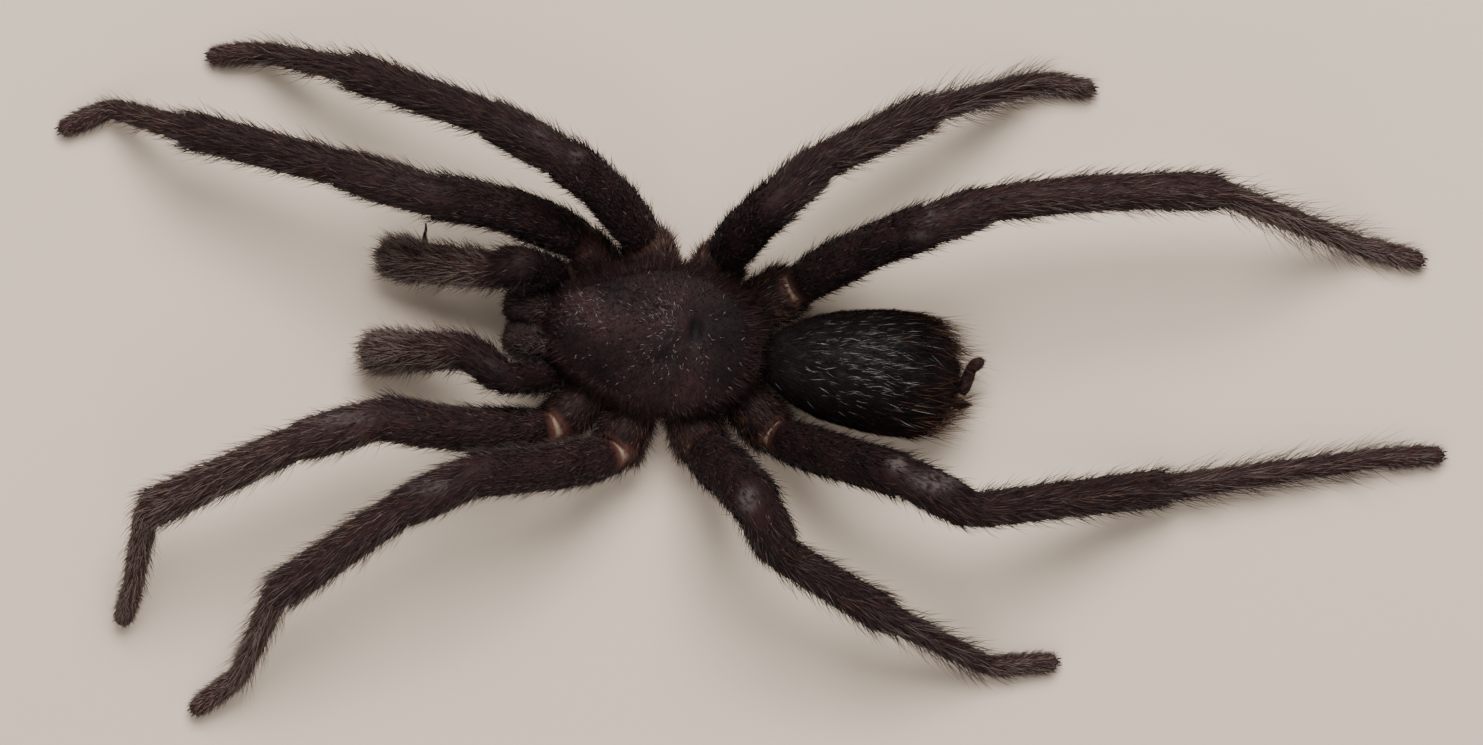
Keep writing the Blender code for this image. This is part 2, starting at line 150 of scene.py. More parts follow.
# Joints of each leg, from the hip out: hip, trochanter, knee, patella end, tibia end,
# metatarsus end and tip
LEG_JOINTS = {
    "leg_1_right": (
        (-8.3, 5.5, 2.7), (-11.0, 8.9, 3.3), (-20.3, 11.7, 10.2), (-26.7, 13.6, 9.4),
        (-36.8, 16.2, 6.0), (-41.8, 17.65, 1.0), (-45.3, 16.15, 0.5),
    ),
    "leg_2_right": (
        (-5.3, 5.9, 2.7), (-7.15, 9.2, 3.3), (-12.0, 14.1, 11.9), (-17.0, 16.8, 10.4),
        (-26.1, 20.0, 6.4), (-31.9, 21.3, 1.4), (-35.6, 21.0, 0.5),
    ),
    "leg_3_right": (
        (-3.5, 5.4, 2.7), (-1.6, 8.1, 3.3), (1.7, 11.4, 12.0), (4.4, 13.9, 9.4),
        (11.6, 17.4, 6.6), (18.7, 19.4, 0.8), (22.5, 18.8, 0.5),
    ),
    "leg_4_right": (
        (-1.9, 3.7, 2.7), (3.0, 6.0, 3.2), (11.3, 9.8, 11.4), (15.3, 11.2, 10.6),
        (30.1, 12.0, 9.8), (39.8, 8.6, 0.8), (44.0, 7.6, 0.5),
    ),
    "leg_1_left": (
        (-8.8, 0.6, 2.7), (-13.0, -3.3, 3.2), (-23.6, -2.5, 9.0), (-29.3, -4.1, 10.2),
        (-39.0, -8.5, 8.0), (-40.2, -13.5, 3.4), (-41.1, -16.0, 0.5),
    ),
    "leg_2_left": (
        (-7.0, -0.7, 2.8), (-9.0, -5.0, 3.2), (-17.6, -6.1, 10.6), (-22.6, -8.4, 10.0),
        (-30.7, -13.9, 7.4), (-33.4, -19.4, 2.2), (-36.6, -21.8, 0.5),
    ),
    "leg_3_left": (
        (-4.9, -0.7, 2.8), (-3.0, -4.7, 3.2), (0.3, -7.9, 12.0), (1.8, -11.2, 9.2),
        (8.8, -15.4, 6.4), (15.5, -18.8, 0.8), (20.1, -18.5, 0.5),
    ),
    "leg_4_left": (
        (-2.3, 0.6, 2.8), (1.7, -3.8, 3.0), (9.7, -6.2, 11.6), (14.2, -8.5, 9.4),
        (27.0, -7.1, 1.8), (41.0, -5.2, 0.8), (45.3, -5.0, 0.5),
    ),
}
PALP_JOINTS = {
    "palp_right": (
        (-10.3, 4.9, 2.6), (-12.6, 6.6, 2.9), (-14.6, 7.4, 8.3), (-16.5, 7.0, 7.0),
        (-21.1, 7.5, 3.9), (-24.2, 8.1, 1.9),
    ),
    "palp_left": (
        (-10.6, 1.9, 2.6), (-12.7, 0.2, 2.9), (-16.0, 0.0, 7.8), (-18.3, 1.8, 7.0),
        (-21.8, 1.8, 3.9), (-25.4, 1.7, 1.9),
    ),
}
# How far the femur and the tibia bow to the right, looking out along the limb
LIMB_BOWS = {
    "leg_1_right": (0.5, 0.0), "leg_2_right": (0.35, 0.0), "leg_3_right": (-0.15, 0.0),
    "leg_4_right": (-0.3, -0.35), "leg_1_left": (-0.4, 0.0), "leg_2_left": (-0.2, 0.0),
    "leg_3_left": (-0.1, 0.0), "leg_4_left": (0.1, 0.0), "palp_right": (0.0, 0.0),
    "palp_left": (0.0, 0.0),
}
# Widths over the short hair: femur, patella, tibia, metatarsus and tarsus, and the coxae's
LEG_GIRTHS = (3.0, 2.8, 2.4, 1.6, 1.4)
STOUT_LEG_GIRTHS = (3.4, 3.0, 2.35, 1.6, 1.4)
COXA_GIRTHS = {
    "leg_1_right": 2.9, "leg_2_right": 3.5, "leg_3_right": 3.5, "leg_4_right": 3.7,
    "leg_1_left": 3.2, "leg_2_left": 3.6, "leg_3_left": 3.7, "leg_4_left": 3.5,
}
# Widths over the short hair: coxa, femur, patella, tibia and tarsus
PALP_GIRTHS = {
    "palp_right": (1.7, 2.25, 2.7, 2.5, 2.7),
    "palp_left": (1.8, 2.1, 2.4, 2.5, 2.7),
}
FEMUR_ARCH = 0.5
FEMUR = 1
TIBIA = 3

# Rings along each kind of segment: how far along it, and the share of its width
COXA_RINGS = ((0.0, 0.6), (0.35, 0.84), (0.75, 0.98), (1.0, 0.95))
FEMUR_RINGS = ((0.0, 0.82), (0.14, 0.98), (0.38, 1.02), (0.62, 0.95), (0.85, 1.0), (1.0, 0.96))
PATELLA_RINGS = ((0.0, 0.92), (0.34, 1.0), (0.7, 1.0), (1.0, 0.92))
TIBIA_RINGS = ((0.0, 0.96), (0.12, 0.98), (0.38, 1.0), (0.64, 1.0), (0.9, 1.06), (1.0, 0.92))
METATARSUS_RINGS = ((0.0, 1.1), (0.1, 1.05), (0.35, 1.0), (0.65, 0.92), (0.93, 0.86), (1.0, 0.84))
TARSUS_RINGS = ((0.0, 0.95), (0.2, 1.04), (0.6, 1.04), (0.9, 0.9), (1.0, 0.75))
PALP_TARSUS_RINGS = ((0.0, 0.9), (0.25, 1.0), (0.6, 1.02), (0.85, 0.9), (1.0, 0.72))
LEG_RINGS = (COXA_RINGS, FEMUR_RINGS, PATELLA_RINGS, TIBIA_RINGS, METATARSUS_RINGS, TARSUS_RINGS)
PALP_RINGS = (COXA_RINGS, FEMUR_RINGS, PATELLA_RINGS, TIBIA_RINGS, PALP_TARSUS_RINGS)

# How pale the hair is on each segment, from 0 (near black) to 1 (pale): coxa, femur, patella,
# tibia, metatarsus and tarsus. Paler towards the tip is the hair's own colour; the differences between
# limbs, such as the paler left legs, the dark coxae of the second and fourth left legs and the light
# one of the second right leg, are painted light and painted shade.
LIMB_TONES = {
    "leg_1_right": (0.22, 0.12, 0.28, 0.28, 0.46, 0.60),
    "leg_2_right": (0.34, 0.12, 0.22, 0.28, 0.38, 0.54),
    "leg_3_right": (0.16, 0.03, 0.26, 0.33, 0.42, 0.56),
    "leg_4_right": (0.06, 0.02, 0.26, 0.38, 0.60, 0.64),
    "leg_1_left": (0.20, 0.24, 0.42, 0.54, 0.78, 0.90),
    "leg_2_left": (0.06, 0.22, 0.34, 0.42, 0.62, 0.80),
    "leg_3_left": (0.14, 0.16, 0.24, 0.28, 0.42, 0.58),
    "leg_4_left": (0.02, 0.04, 0.16, 0.30, 0.48, 0.54),
    "palp_right": (0.06, 0.02, 0.00, 0.62, 0.62),
    "palp_left": (0.12, 0.06, 0.05, 0.48, 0.78),
}
# At the first joint of each limb: how bare and brown the skin is, and how much cream shows in it; the cream is
# pale joint skin with a painted highlight on it
JOINT_SKIN = {
    "leg_1_left": (1.0, 0.9), "leg_2_left": (1.0, 1.0), "leg_3_left": (0.8, 0.6), "leg_4_left": (0.9, 0.9),
    "leg_4_right": (0.7, 1.0), "leg_1_right": (0.5, 0.0), "leg_2_right": (0.35, 0.0),
    "leg_3_right": (0.2, 0.0), "palp_left": (0.4, 0.0), "palp_right": (0.0, 0.0),
}
# The brown patch and the cream crescent in it, joint skin with a painted highlight: width along the limb and half
# angle around it
JOINT_PATCH = (1.7, 1.3)
JOINT_CRESCENT = (0.55, 0.8)
# How far before the patch the hair is thinned, so that no tips cover it
JOINT_COVER = 0.75
BUSH_COVER = 1.2
# How much longer than elsewhere the hair of a metatarsus and tarsus is
FAR_HAIR = {
    "leg_4_right": 1.5, "leg_4_left": 1.3, "leg_3_left": 1.15, "leg_3_right": 1.3,
    "leg_1_left": 0.75, "leg_1_right": 0.75,
}
METATARSUS = 4
# Number of sideways hairs tried on a whole limb, of which those on its first segment stay
COXA_BUSH = 9000
# Bristles that stand out below the far ends of each leg's femur and tibia
JOINT_TUFT = 150
# Thin-haired patches on the legs, whose grey is bare skin with a painted sheen on it: place (x, y), half sizes and
# how bare each is
BARE_PATCHES = (
    (-13.4, 15.9, 0.6, 0.6, 0.5), (-11.2, 14.3, 0.5, 0.5, 0.5), (11.4, 10.7, 0.3, 1.0, 0.6),
    (10.8, 9.1, 0.8, 0.4, 0.4), (-26.6, -2.5, 2.2, 0.45, 0.8), (-20.8, -6.9, 1.7, 0.5, 0.7),
    (-0.3, -7.8, 0.6, 0.9, 0.8), (-2.7, -7.2, 0.5, 0.4, 0.5), (9.3, -5.4, 0.7, 0.5, 0.9),
    (11.7, -6.6, 1.6, 0.8, 1.0),
)

BULB_STATIONS = {
    "palp_bulb_right": (
        (-20.2, 6.9, 1.2, 0.4), (-20.6, 7.3, 1.1, 1.1), (-21.0, 7.8, 1.0, 1.4),
        (-21.2, 8.3, 1.1, 1.0), (-21.3, 8.8, 1.4, 0.5), (-21.3, 9.3, 1.8, 0.28),
        (-21.2, 9.7, 2.2, 0.2), (-21.2, 10.1, 2.6, 0.1),
    ),
    "palp_bulb_left": (
        (-20.6, 2.3, 1.2, 0.4), (-21.1, 1.9, 1.1, 1.1), (-21.7, 1.7, 0.95, 1.3),
        (-22.2, 1.6, 0.8, 0.9), (-22.6, 1.55, 0.6, 0.4), (-23.0, 1.6, 0.45, 0.22),
        (-23.5, 1.7, 0.45, 0.1),
    ),
}
SPINNERET_STATIONS = {
    "spinneret_right": (
        (13.65, -1.0, 3.0, 0.6), (13.85, -0.5, 2.9, 0.85), (14.1, 0.1, 2.8, 0.8),
        (14.3, 0.6, 2.8, 0.75), (14.6, 0.9, 2.9, 0.85), (14.9, 1.1, 3.0, 0.6),
        (15.1, 1.15, 3.1, 0.2),
    ),
    "spinneret_left": (
        (12.9, -1.6, 1.1, 0.45), (13.3, -1.6, 1.0, 0.65), (13.7, -1.7, 0.95, 0.6),
        (14.1, -1.7, 0.9, 0.25),
    ),
}

# Camera: the place it looks at on the floor, its height and the width that it takes in
VIEW_MIDDLE = np.array((-0.65, 0.39, 0.0))
CAMERA_HEIGHT = 600.0
VIEW_WIDTH = 96.93
SENSOR_WIDTH = 36.0

TONE_CELLS = 64

Tube = namedtuple("Tube", "centre forward side top half along segment")


class SpecimenSizes(bpy.types.PropertyGroup):
    """Sizes of the hair and of the skins' grids."""

    coat_depth: bpy.props.FloatProperty(
        name="Coat depth", description="How thick the short coat lies over the skin of a limb",
        default=0.06 * MM, min=0.0, unit="LENGTH", subtype="DISTANCE",
    )
    coat_hair: bpy.props.FloatProperty(
        name="Coat hair", description="Length of the short hair that covers a limb",
        default=0.75 * MM, min=0.0, unit="LENGTH", subtype="DISTANCE",
    )
    long_hair: bpy.props.FloatProperty(
        name="Long hair", description="Length of the long bristles on a limb",
        default=1.7 * MM, min=0.0, unit="LENGTH", subtype="DISTANCE",
    )
    hair_width: bpy.props.FloatProperty(
        name="Hair width", description="Width of a hair at its root",
        default=0.05 * MM, min=0.0, unit="LENGTH", subtype="DISTANCE",
    )
    coat_count: bpy.props.IntProperty(
        name="Coat hairs", description="Number of short hairs on one leg", default=13000, min=0,
    )
    long_count: bpy.props.IntProperty(
        name="Long hairs", description="Number of long bristles on one leg", default=3100, min=0,
    )


class SpecimenColours(bpy.types.PropertyGroup):
    """Colours of the shell, the hair and the floor."""

    shell: bpy.props.FloatVectorProperty(
        name="Shell", description="Reddish brown of the back shield and the bare skin",
        default=(0.0120, 0.0048, 0.0048), min=0.0, max=1.0, subtype="COLOR",
    )
    dark_hair: bpy.props.FloatVectorProperty(
        name="Dark hair", description="Darkest hair of the legs",
        default=(0.0084, 0.0064, 0.0067), min=0.0, max=1.0, subtype="COLOR",
    )
    brown_hair: bpy.props.FloatVectorProperty(
        name="Brown hair", description="Middle brown of the leg hair",
        default=(0.053, 0.0360, 0.0352), min=0.0, max=1.0, subtype="COLOR",
    )
    # Pale hair: the hair's own grey, and also painted sheen on the legs
    pale_hair_and_sheen: bpy.props.FloatVectorProperty(
        name="Pale hair", description="Greyish tips and the palest leg hair",
        default=(0.177, 0.132, 0.115), min=0.0, max=1.0, subtype="COLOR",
    )
    orange_hair: bpy.props.FloatVectorProperty(
        name="Orange hair", description="Foxy brown of the longest hairs",
        default=(0.085, 0.040, 0.023), min=0.0, max=1.0, subtype="COLOR",
    )
    abdomen_hair: bpy.props.FloatVectorProperty(
        name="Abdomen hair", description="Bluish black of the abdomen",
        default=(0.0076, 0.0068, 0.0070), min=0.0, max=1.0, subtype="COLOR",
    )
    # Silver: silvery hair, partly painted glints and highlights on the hair
    silver_hair_and_glint: bpy.props.FloatVectorProperty(
        name="Silver hair", description="Silvery hairs on the abdomen and the shield",
        default=(0.28, 0.265, 0.25), min=0.0, max=1.0, subtype="COLOR",
    )
    joint_brown: bpy.props.FloatVectorProperty(
        name="Joint brown", description="Reddish brown skin round the cream at the first joint",
        default=(0.070, 0.028, 0.022), min=0.0, max=1.0, subtype="COLOR",
    )
    # Grey of the bare patches: the bare skin with a painted sheen on it
    bare_skin_and_sheen: bpy.props.FloatVectorProperty(
        name="Bare skin", description="Grey of the rubbed patches where the hair is gone",
        default=(0.054, 0.043, 0.042), min=0.0, max=1.0, subtype="COLOR",
    )
    # Cream at the first joint: joint skin with a painted highlight on it
    membrane_and_highlight: bpy.props.FloatVectorProperty(
        name="Joint skin", description="Cream skin that shows at the first joint of a leg",
        default=(0.20, 0.15, 0.108), min=0.0, max=1.0, subtype="COLOR",
    )
    floor: bpy.props.FloatVectorProperty(
        name="Floor", description="Pale warm grey of the floor",
        default=(0.45, 0.368, 0.294), min=0.0, max=1.0, subtype="COLOR",
    )


# Numbers and curves

def unit(vectors):
    """Each vector divided by its own length."""
    return vectors / np.maximum(np.linalg.norm(vectors, axis=-1, keepdims=True), 1e-12)


def ramp(low, high, values):
    """Smooth step: 0 below `low`, 1 above `high`, and 3 t^2 - 2 t^3 in between."""
    t = np.clip((values - low) / (high - low), 0.0, 1.0)
    return t * t * (3.0 - 2.0 * t)


def blur(values, reach):
    """Running mean of a row of values, weighted with a bell curve of that many steps."""
    steps = np.arange(-3 * reach, 3 * reach + 1)
    bell = np.exp(-0.5 * (steps / reach) ** 2)
    bell /= bell.sum()
    flat = values.reshape(len(values), -1)
    padded = np.concatenate([np.repeat(flat[:1], 3 * reach, 0), flat, np.repeat(flat[-1:], 3 * reach, 0)])
    columns = [np.convolve(padded[:, i], bell, mode="valid") for i in range(flat.shape[1])]
    return np.stack(columns, axis=1).reshape(values.shape)


def through(stations, count):
    """A smooth curve through stations: cubic pieces whose slopes join each station's two neighbours."""
    points = np.asarray(stations, float)
    ends = np.concatenate([2 * points[:1] - points[1:2], points, 2 * points[-1:] - points[-2:-1]])
    place = np.linspace(0.0, len(points) - 1.0, count)
    piece = np.minimum(place.astype(int), len(points) - 2)
    t = (place - piece)[:, None]
    a, b, c, d = (ends[piece + i] for i in range(4))
    return 0.5 * (2 * b + (c - a) * t + (2 * a - 5 * b + 4 * c - d) * t ** 2 + (3 * b - a - 3 * c + d) * t ** 3)


def on_chest(along, across, z):
    """Points in the chest's own directions: along to the tail, across to the right, and up."""
    x = along * np.cos(CHEST_TURN) - across * np.sin(CHEST_TURN)
    y = along * np.sin(CHEST_TURN) + across * np.cos(CHEST_TURN)
    return np.stack(np.broadcast_arrays(x + CHEST_PLACE[0], y + CHEST_PLACE[1], z), axis=-1)


# Tubes: a centre line with an oval round every point of it

def tube_along(centre, half, segment, turn_reach=3):
    """A tube round a centre line: each ring stands square to the line's own direction there."""
    forward = unit(blur(np.gradient(centre, axis=0), turn_reach))
    side = unit(np.cross(forward, UP))
    top = np.cross(side, forward)
    steps = np.linalg.norm(np.diff(centre, axis=0), axis=1)
    along = np.concatenate([[0.0], np.cumsum(steps)])
    return Tube(centre, forward, side, top, half, along, segment)


def limb_tube(name, joints, girths, profiles, coat):
    """A limb: straight runs between its joints plus a half sine wave that arches the femur and bows it;
    the radius follows each segment's profile, dips at the joints and rounds off at the tip."""
    joints = np.array(joints, float)
    bows = dict(zip((FEMUR, TIBIA), LIMB_BOWS[name]))
    centres, radii, segments, joint_gaps = [], [], [], []
    for segment, profile in enumerate(profiles):
        run = joints[segment + 1] - joints[segment]
        length = np.linalg.norm(run)
        last = segment == len(profiles) - 1
        share = np.linspace(0.0, 1.0, max(int(length / 0.15), 8), endpoint=last)
        bow = unit(np.cross(run, UP)) * bows.get(segment, 0.0)
        arch = UP * (FEMUR_ARCH if segment == FEMUR else 0.0)
        swell = np.sin(np.pi * share)[:, None]
        centres.append(joints[segment] + share[:, None] * run + swell * (bow + arch))
        places, shares = np.array(profile).T
        radii.append(girths[segment] / 2.0 * np.interp(share, places, shares))
        segments.append(np.full(len(share), segment))
        joint_gaps.append(np.minimum(share, 1.0 - share) * length)
    centre = blur(np.concatenate(centres), 3)
    centre[-1] = joints[-1]
    radius = blur(np.concatenate(radii), 3) - coat
    gap = np.concatenate(joint_gaps)
    radius *= 1.0 - 0.09 * np.exp(-(gap / 0.28) ** 2)
    tube = tube_along(centre, radius, np.concatenate(segments))
    to_tip = np.clip((tube.along[-1] - tube.along) / (0.8 * radius[-8]), 0.0, 1.0)
    to_hip = np.clip(tube.along / (0.8 * radius[0]), 0.0, 1.0)
    radius = radius * np.sqrt(1.0 - (1.0 - to_tip) ** 2) * np.sqrt(1.0 - (1.0 - to_hip) ** 2)
    return tube._replace(half=np.stack([radius, radius], axis=1))


def station_tube(stations, count):
    """A tube through given stations of x, y, z, width and height."""
    rows = through([(*s[:4], s[-1]) for s in stations], count)
    half = np.maximum(rows[:, 3:5] / 2.0, 0.0)
    return tube_along(rows[:, :3], half, np.zeros(count, int))


def tube_points(tube, ring, angle):
    """Points on a tube: centre + side * half width * cos(angle) + top * half height * sin(angle),
    between rings by linear mixing; also the way from the centre line to each."""
    ring = np.clip(ring, 0.0, len(tube.along) - 1.0)
    low = np.minimum(ring.astype(int), len(tube.along) - 2)
    mix = (ring - low)[..., None]

    def at(values):
        return values[low] * (1.0 - mix) + values[low + 1] * mix

    side, top, half = at(tube.side), at(tube.top), at(tube.half)
    cos, sin = np.cos(angle)[..., None], np.sin(angle)[..., None]
    spoke = side * cos * half[..., :1] + top * sin * half[..., 1:]
    return at(tube.centre) + spoke, unit(side * cos + top * sin)


def on_tube(tube, ring, angle, lift=0.0):
    """Points on a tube or `lift` above it; also the outward direction and the one that runs forwards
    along the surface, which is the difference between points half a ring ahead and behind."""
    place, spoke = tube_points(tube, ring, angle)
    ahead = tube_points(tube, ring + 0.5, angle)[0] - tube_points(tube, ring - 0.5, angle)[0]
    forward = unit(ahead)
    outward = unit(spoke - forward * (spoke * forward).sum(axis=-1, keepdims=True))
    return place + outward * np.asarray(lift)[..., None], outward, forward


def tube_grid(tube, sides):
    """Grid of a tube's points: one row for each ring, one column for each angle; none below the floor."""
    rings = np.repeat(np.arange(len(tube.along), dtype=float)[:, None], sides, axis=1)
    angles = np.repeat(np.linspace(0.0, 2.0 * np.pi, sides, endpoint=False)[None], len(rings), axis=0)
    grid = on_tube(tube, rings, angles)[0]
    grid[..., 2] = np.maximum(grid[..., 2], 0.0)
    return grid


def scatter(tube, count, chance, keep=None):
    """Random places on a tube, evenly spread over its area; `keep` gives each the share of hairs it keeps."""
    area = np.maximum(tube.half.mean(axis=1), 1e-6)
    spread = np.concatenate([[0.0], np.cumsum(0.5 * (area[1:] + area[:-1]) * np.diff(tube.along))])
    ring = np.interp(chance.random(count) * spread[-1], spread, np.arange(len(spread)))
    angle = chance.random(count) * 2.0 * np.pi
    if keep is not None:
        kept = chance.random(count) < keep(ring, angle)
        ring, angle = ring[kept], angle[kept]
    return ring, angle


# Meshes

def mesh_object(name, points, loops, sizes, uv, attributes=None):
    """An object from points in millimetres, each face's corners in turn, and the faces' corner counts."""
    mesh = bpy.data.meshes.new(name)
    mesh.vertices.add(len(points))
    mesh.vertices.foreach_set("co", ((points - SPREAD_MIDDLE) * MM).astype(np.float32).ravel())
    mesh.loops.add(len(loops))
    mesh.loops.foreach_set("vertex_index", loops.astype(np.int32))
    mesh.polygons.add(len(sizes))
    starts = np.concatenate([[0], np.cumsum(sizes)[:-1]])
    mesh.polygons.foreach_set("loop_start", starts.astype(np.int32))
    mesh.polygons.foreach_set("use_smooth", np.ones(len(sizes), bool))
    mesh.update(calc_edges=True)
    layer = mesh.uv_layers.new(name="OFBake")
    layer.data.foreach_set("uv", uv.astype(np.float32).ravel())
    for key, values in (attributes or {}).items():
        attribute = mesh.attributes.new(key, "FLOAT", "POINT")
        attribute.data.foreach_set("value", values.astype(np.float32))
    if mesh.validate():
        raise RuntimeError(f"{name}: the mesh had broken faces")
    thing = bpy.data.objects.new(name, mesh)
    bpy.context.scene.collection.objects.link(thing)
    return thing


def closed_skin(name, grid, attributes=None, clockwise=True):
    """A closed surface over a grid of rings: quads between the rings and a pole point at either end;
    `clockwise` tells which way round the rings run, looking from the last one to the first."""
    attributes = attributes or {}
    if clockwise:
        grid = grid[:, ::-1]
        attributes = {key: values[:, ::-1] for key, values in attributes.items()}
    rows, sides = grid.shape[:2]
    poles = np.stack([grid[0].mean(axis=0), grid[-1].mean(axis=0)])
    points = np.concatenate([grid.reshape(-1, 3), poles])
    row, column = np.meshgrid(np.arange(rows - 1), np.arange(sides), indexing="ij")
    row, column = row.ravel(), column.ravel()
    after = (column + 1) % sides
    quads = np.stack([row * sides + column, row * sides + after,
                      (row + 1) * sides + after, (row + 1) * sides + column], axis=1)
    low, high = row / rows, (row + 1) / rows
    left, right = column / sides, (column + 1) / sides
    margin = 0.01
    quad_uv = margin + (1 - 2 * margin) * np.stack([
        np.stack([left, right, right, left], axis=1), np.stack([low, low, high, high], axis=1)], axis=2)
    spot = np.arange(sides)
    nxt = (spot + 1) % sides
    first = np.stack([nxt, spot, np.full(sides, rows * sides)], axis=1)
    last = np.stack([spot, nxt, np.full(sides, rows * sides + 1)], axis=1)
    last[:, :2] += (rows - 1) * sides
    turn = 2.0 * np.pi * spot / sides
    rim = 0.5 + 0.5 * np.stack([np.cos(turn), np.sin(turn)], axis=1)
    small = 0.008
    cap = np.stack([rim[nxt], rim[spot], np.full((sides, 2), 0.5)], axis=1) * small
    loops = np.concatenate([quads.ravel(), first.ravel(), last.ravel()])
    uv = np.concatenate([quad_uv.reshape(-1, 2), cap.reshape(-1, 2), (1.0 - cap).reshape(-1, 2)])
    sizes = np.concatenate([np.full(len(quads), 4), np.full(2 * sides, 3)])
    extended = {}
    for key, values in attributes.items():
        ends = np.array([values[0].mean(), values[-1].mean()])
        extended[key] = np.concatenate([values.ravel(), ends])
    return mesh_object(name, points, loops, sizes, uv, extended)


def hair_shape(roots, aims, bends, lengths, widths, tones, rings):
    """Closed three-sided spikes: a point t of the way up a hair is root + length * (aim * t + bend * t^2),
    and its radius there is the root's times (1 - t) to the power 0.8; the last point is the tip."""
    count = len(roots)
    across = unit(np.cross(aims, bends + 0.31 * UP + 0.17))
    other = np.cross(aims, across)
    heights = np.linspace(0.0, 1.0, rings + 1)[:-1]
    turns = 2.0 * np.pi * np.arange(3) / 3.0
    points = np.empty((count, 3 * rings + 1, 3))
    for level, t in enumerate(heights):
        middle = roots + lengths[:, None] * (aims * t + bends * t * t)
        radius = 0.5 * widths * (1.0 - t) ** 0.8
        for k, turn in enumerate(turns):
            offset = across * np.cos(turn) + other * np.sin(turn)
            points[:, 3 * level + k] = middle + offset * radius[:, None]
    points[:, -1] = roots + lengths[:, None] * (aims + bends)

    corners, sizes = [2, 1, 0], [3]
    for level in range(rings - 1):
        for k in range(3):
            n = (k + 1) % 3
            corners += [3 * level + k, 3 * level + n, 3 * level + 3 + n, 3 * level + 3 + k]
            sizes.append(4)
    top = 3 * (rings - 1)
    for k in range(3):
        corners += [top + k, top + (k + 1) % 3, 3 * rings]
        sizes.append(3)
    corners = np.array(corners)
    loops = (np.arange(count)[:, None] * (3 * rings + 1) + corners[None]).ravel()
    u = np.concatenate([np.tile(np.array((0.15, 0.5, 0.85)), rings), [0.5]])
    v = np.concatenate([np.repeat(heights, 3), [1.0]]) * 0.96 + 0.02
    cells = np.clip((tones * TONE_CELLS).astype(int), 0, TONE_CELLS - 1)
    hair_u = (cells[:, None] + u[corners][None]) / TONE_CELLS
    uv = np.stack([hair_u, np.repeat(v[corners][None], count, axis=0)], axis=2)
    return points.reshape(-1, 3), loops, np.tile(sizes, count), uv.reshape(-1, 2)


def keep_in_room(aims, roots, lengths, bends):
    """Tilts the hairs whose tips would leave the room round the solids or sink into the floor."""
    low, high = (np.array(corner) / MM + SPREAD_MIDDLE for corner in BOUNDS_BEFORE)
    low, high = low - HAIR_ROOM, high + HAIR_ROOM
    low[2] = FLOOR_GAP
    tips = roots + lengths[:, None] * (aims + bends)
    return aims + (np.clip(tips, low, high) - tips) / lengths[:, None]


def hair_object(name, groups):
    """One mesh of all the hairs in `groups`: roots, aims, bends, lengths, widths, tones and rings."""
    parts, start = [], 0
    for roots, aims, bends, lengths, widths, tones, rings in groups:
        aims = keep_in_room(aims, roots, lengths, bends)
        points, loops, sizes, uv = hair_shape(roots, aims, bends, lengths, widths, tones, rings)
        parts.append((points, loops + start, sizes, uv))
        start += len(points)
    points, loops, sizes, uv = (np.concatenate(column) for column in zip(*parts))
    points[:, 2] = np.maximum(points[:, 2], 0.0)
    return mesh_object(name, points, loops, sizes, uv)


def combed(tube, ring, angle, chance, lean, length, width, tone, droop=0.15, rings=1, sink=0.06, swirl=0.2,
           locks=0.0):
    """Hairs combed along a tube: each aims forwards and rises by `lean` radians, with some scatter,
    and bends back towards the skin by `droop` of its length; `locks` turns neighbours together, by a
    product of two sine waves over the tube."""
    roots, outward, forward = on_tube(tube, ring, angle, np.full(len(ring), -sink))
    count = len(ring)
    lean = lean * chance.uniform(0.6, 1.4, count)[:, None]
    shared = locks * np.sin(angle * 9.0 + ring * 0.21) * np.sin(angle * 4.0 - ring * 0.37 + 1.0)
    sideways = np.cross(forward, outward) * (shared + chance.normal(0.0, swirl, count))[:, None]
    aims = unit(forward * np.cos(lean) + outward * np.sin(lean) + sideways)
    bends = (forward - outward) * droop * chance.uniform(0.3, 1.5, count)[:, None]
    lengths = length * chance.uniform(0.6, 1.25, count)
    widths = width * chance.uniform(0.75, 1.25, count)
    return roots, aims, bends, lengths, widths, np.clip(tone, 0.0, 0.999), rings


# Shaders

class Shade:
    """One output of a shader node, which adds, multiplies and so on as a number does."""

    def __init__(self, tree, socket):
        self.tree = tree
        self.socket = socket

    def node(self, kind, output=0, inputs=None, **settings):
        """Any other node, fed with numbers or other outputs; gives the output asked for."""
        made = self.tree.nodes.new(kind)
        for key, value in settings.items():
            setattr(made, key, value)
        for place, value in (inputs or {}).items():
            if isinstance(value, Shade):
                self.tree.links.new(value.socket, made.inputs[place])
            else:
                made.inputs[place].default_value = value
        return Shade(self.tree, made.outputs[output])

    def _math(self, operation, first, second):
        return self.node("ShaderNodeMath", inputs={0: first, 1: second}, operation=operation)

    def __add__(self, other):
        return self._math("ADD", self, other)

    def __radd__(self, other):
        return self._math("ADD", other, self)

    def __sub__(self, other):
        return self._math("SUBTRACT", self, other)

    def __rsub__(self, other):
        return self._math("SUBTRACT", other, self)

    def __mul__(self, other):
        return self._math("MULTIPLY", self, other)

    def __rmul__(self, other):
        return self._math("MULTIPLY", other, self)

    def __truediv__(self, other):
        return self._math("DIVIDE", self, other)

    def __rtruediv__(self, other):
        return self._math("DIVIDE", other, self)

    def __pow__(self, other):
        return self._math("POWER", self, other)

    def mix(self, low, high):
        """The colour `low` where this is 0 and `high` where it is 1."""
        return self.node("ShaderNodeMix", output=2, inputs={0: self, 6: low, 7: high}, data_type="RGBA")

    def step(self, low, high):
        """0 below `low`, 1 above `high`, and smooth in between."""
        return self.node("ShaderNodeMapRange", inputs={0: self, 1: low, 2: high},
                         interpolation_type="SMOOTHSTEP")


def rgba(colour, strength=1.0):
    """A colour with full cover, made lighter or darker."""
    return (*(min(part * strength, 1.0) for part in colour), 1.0)


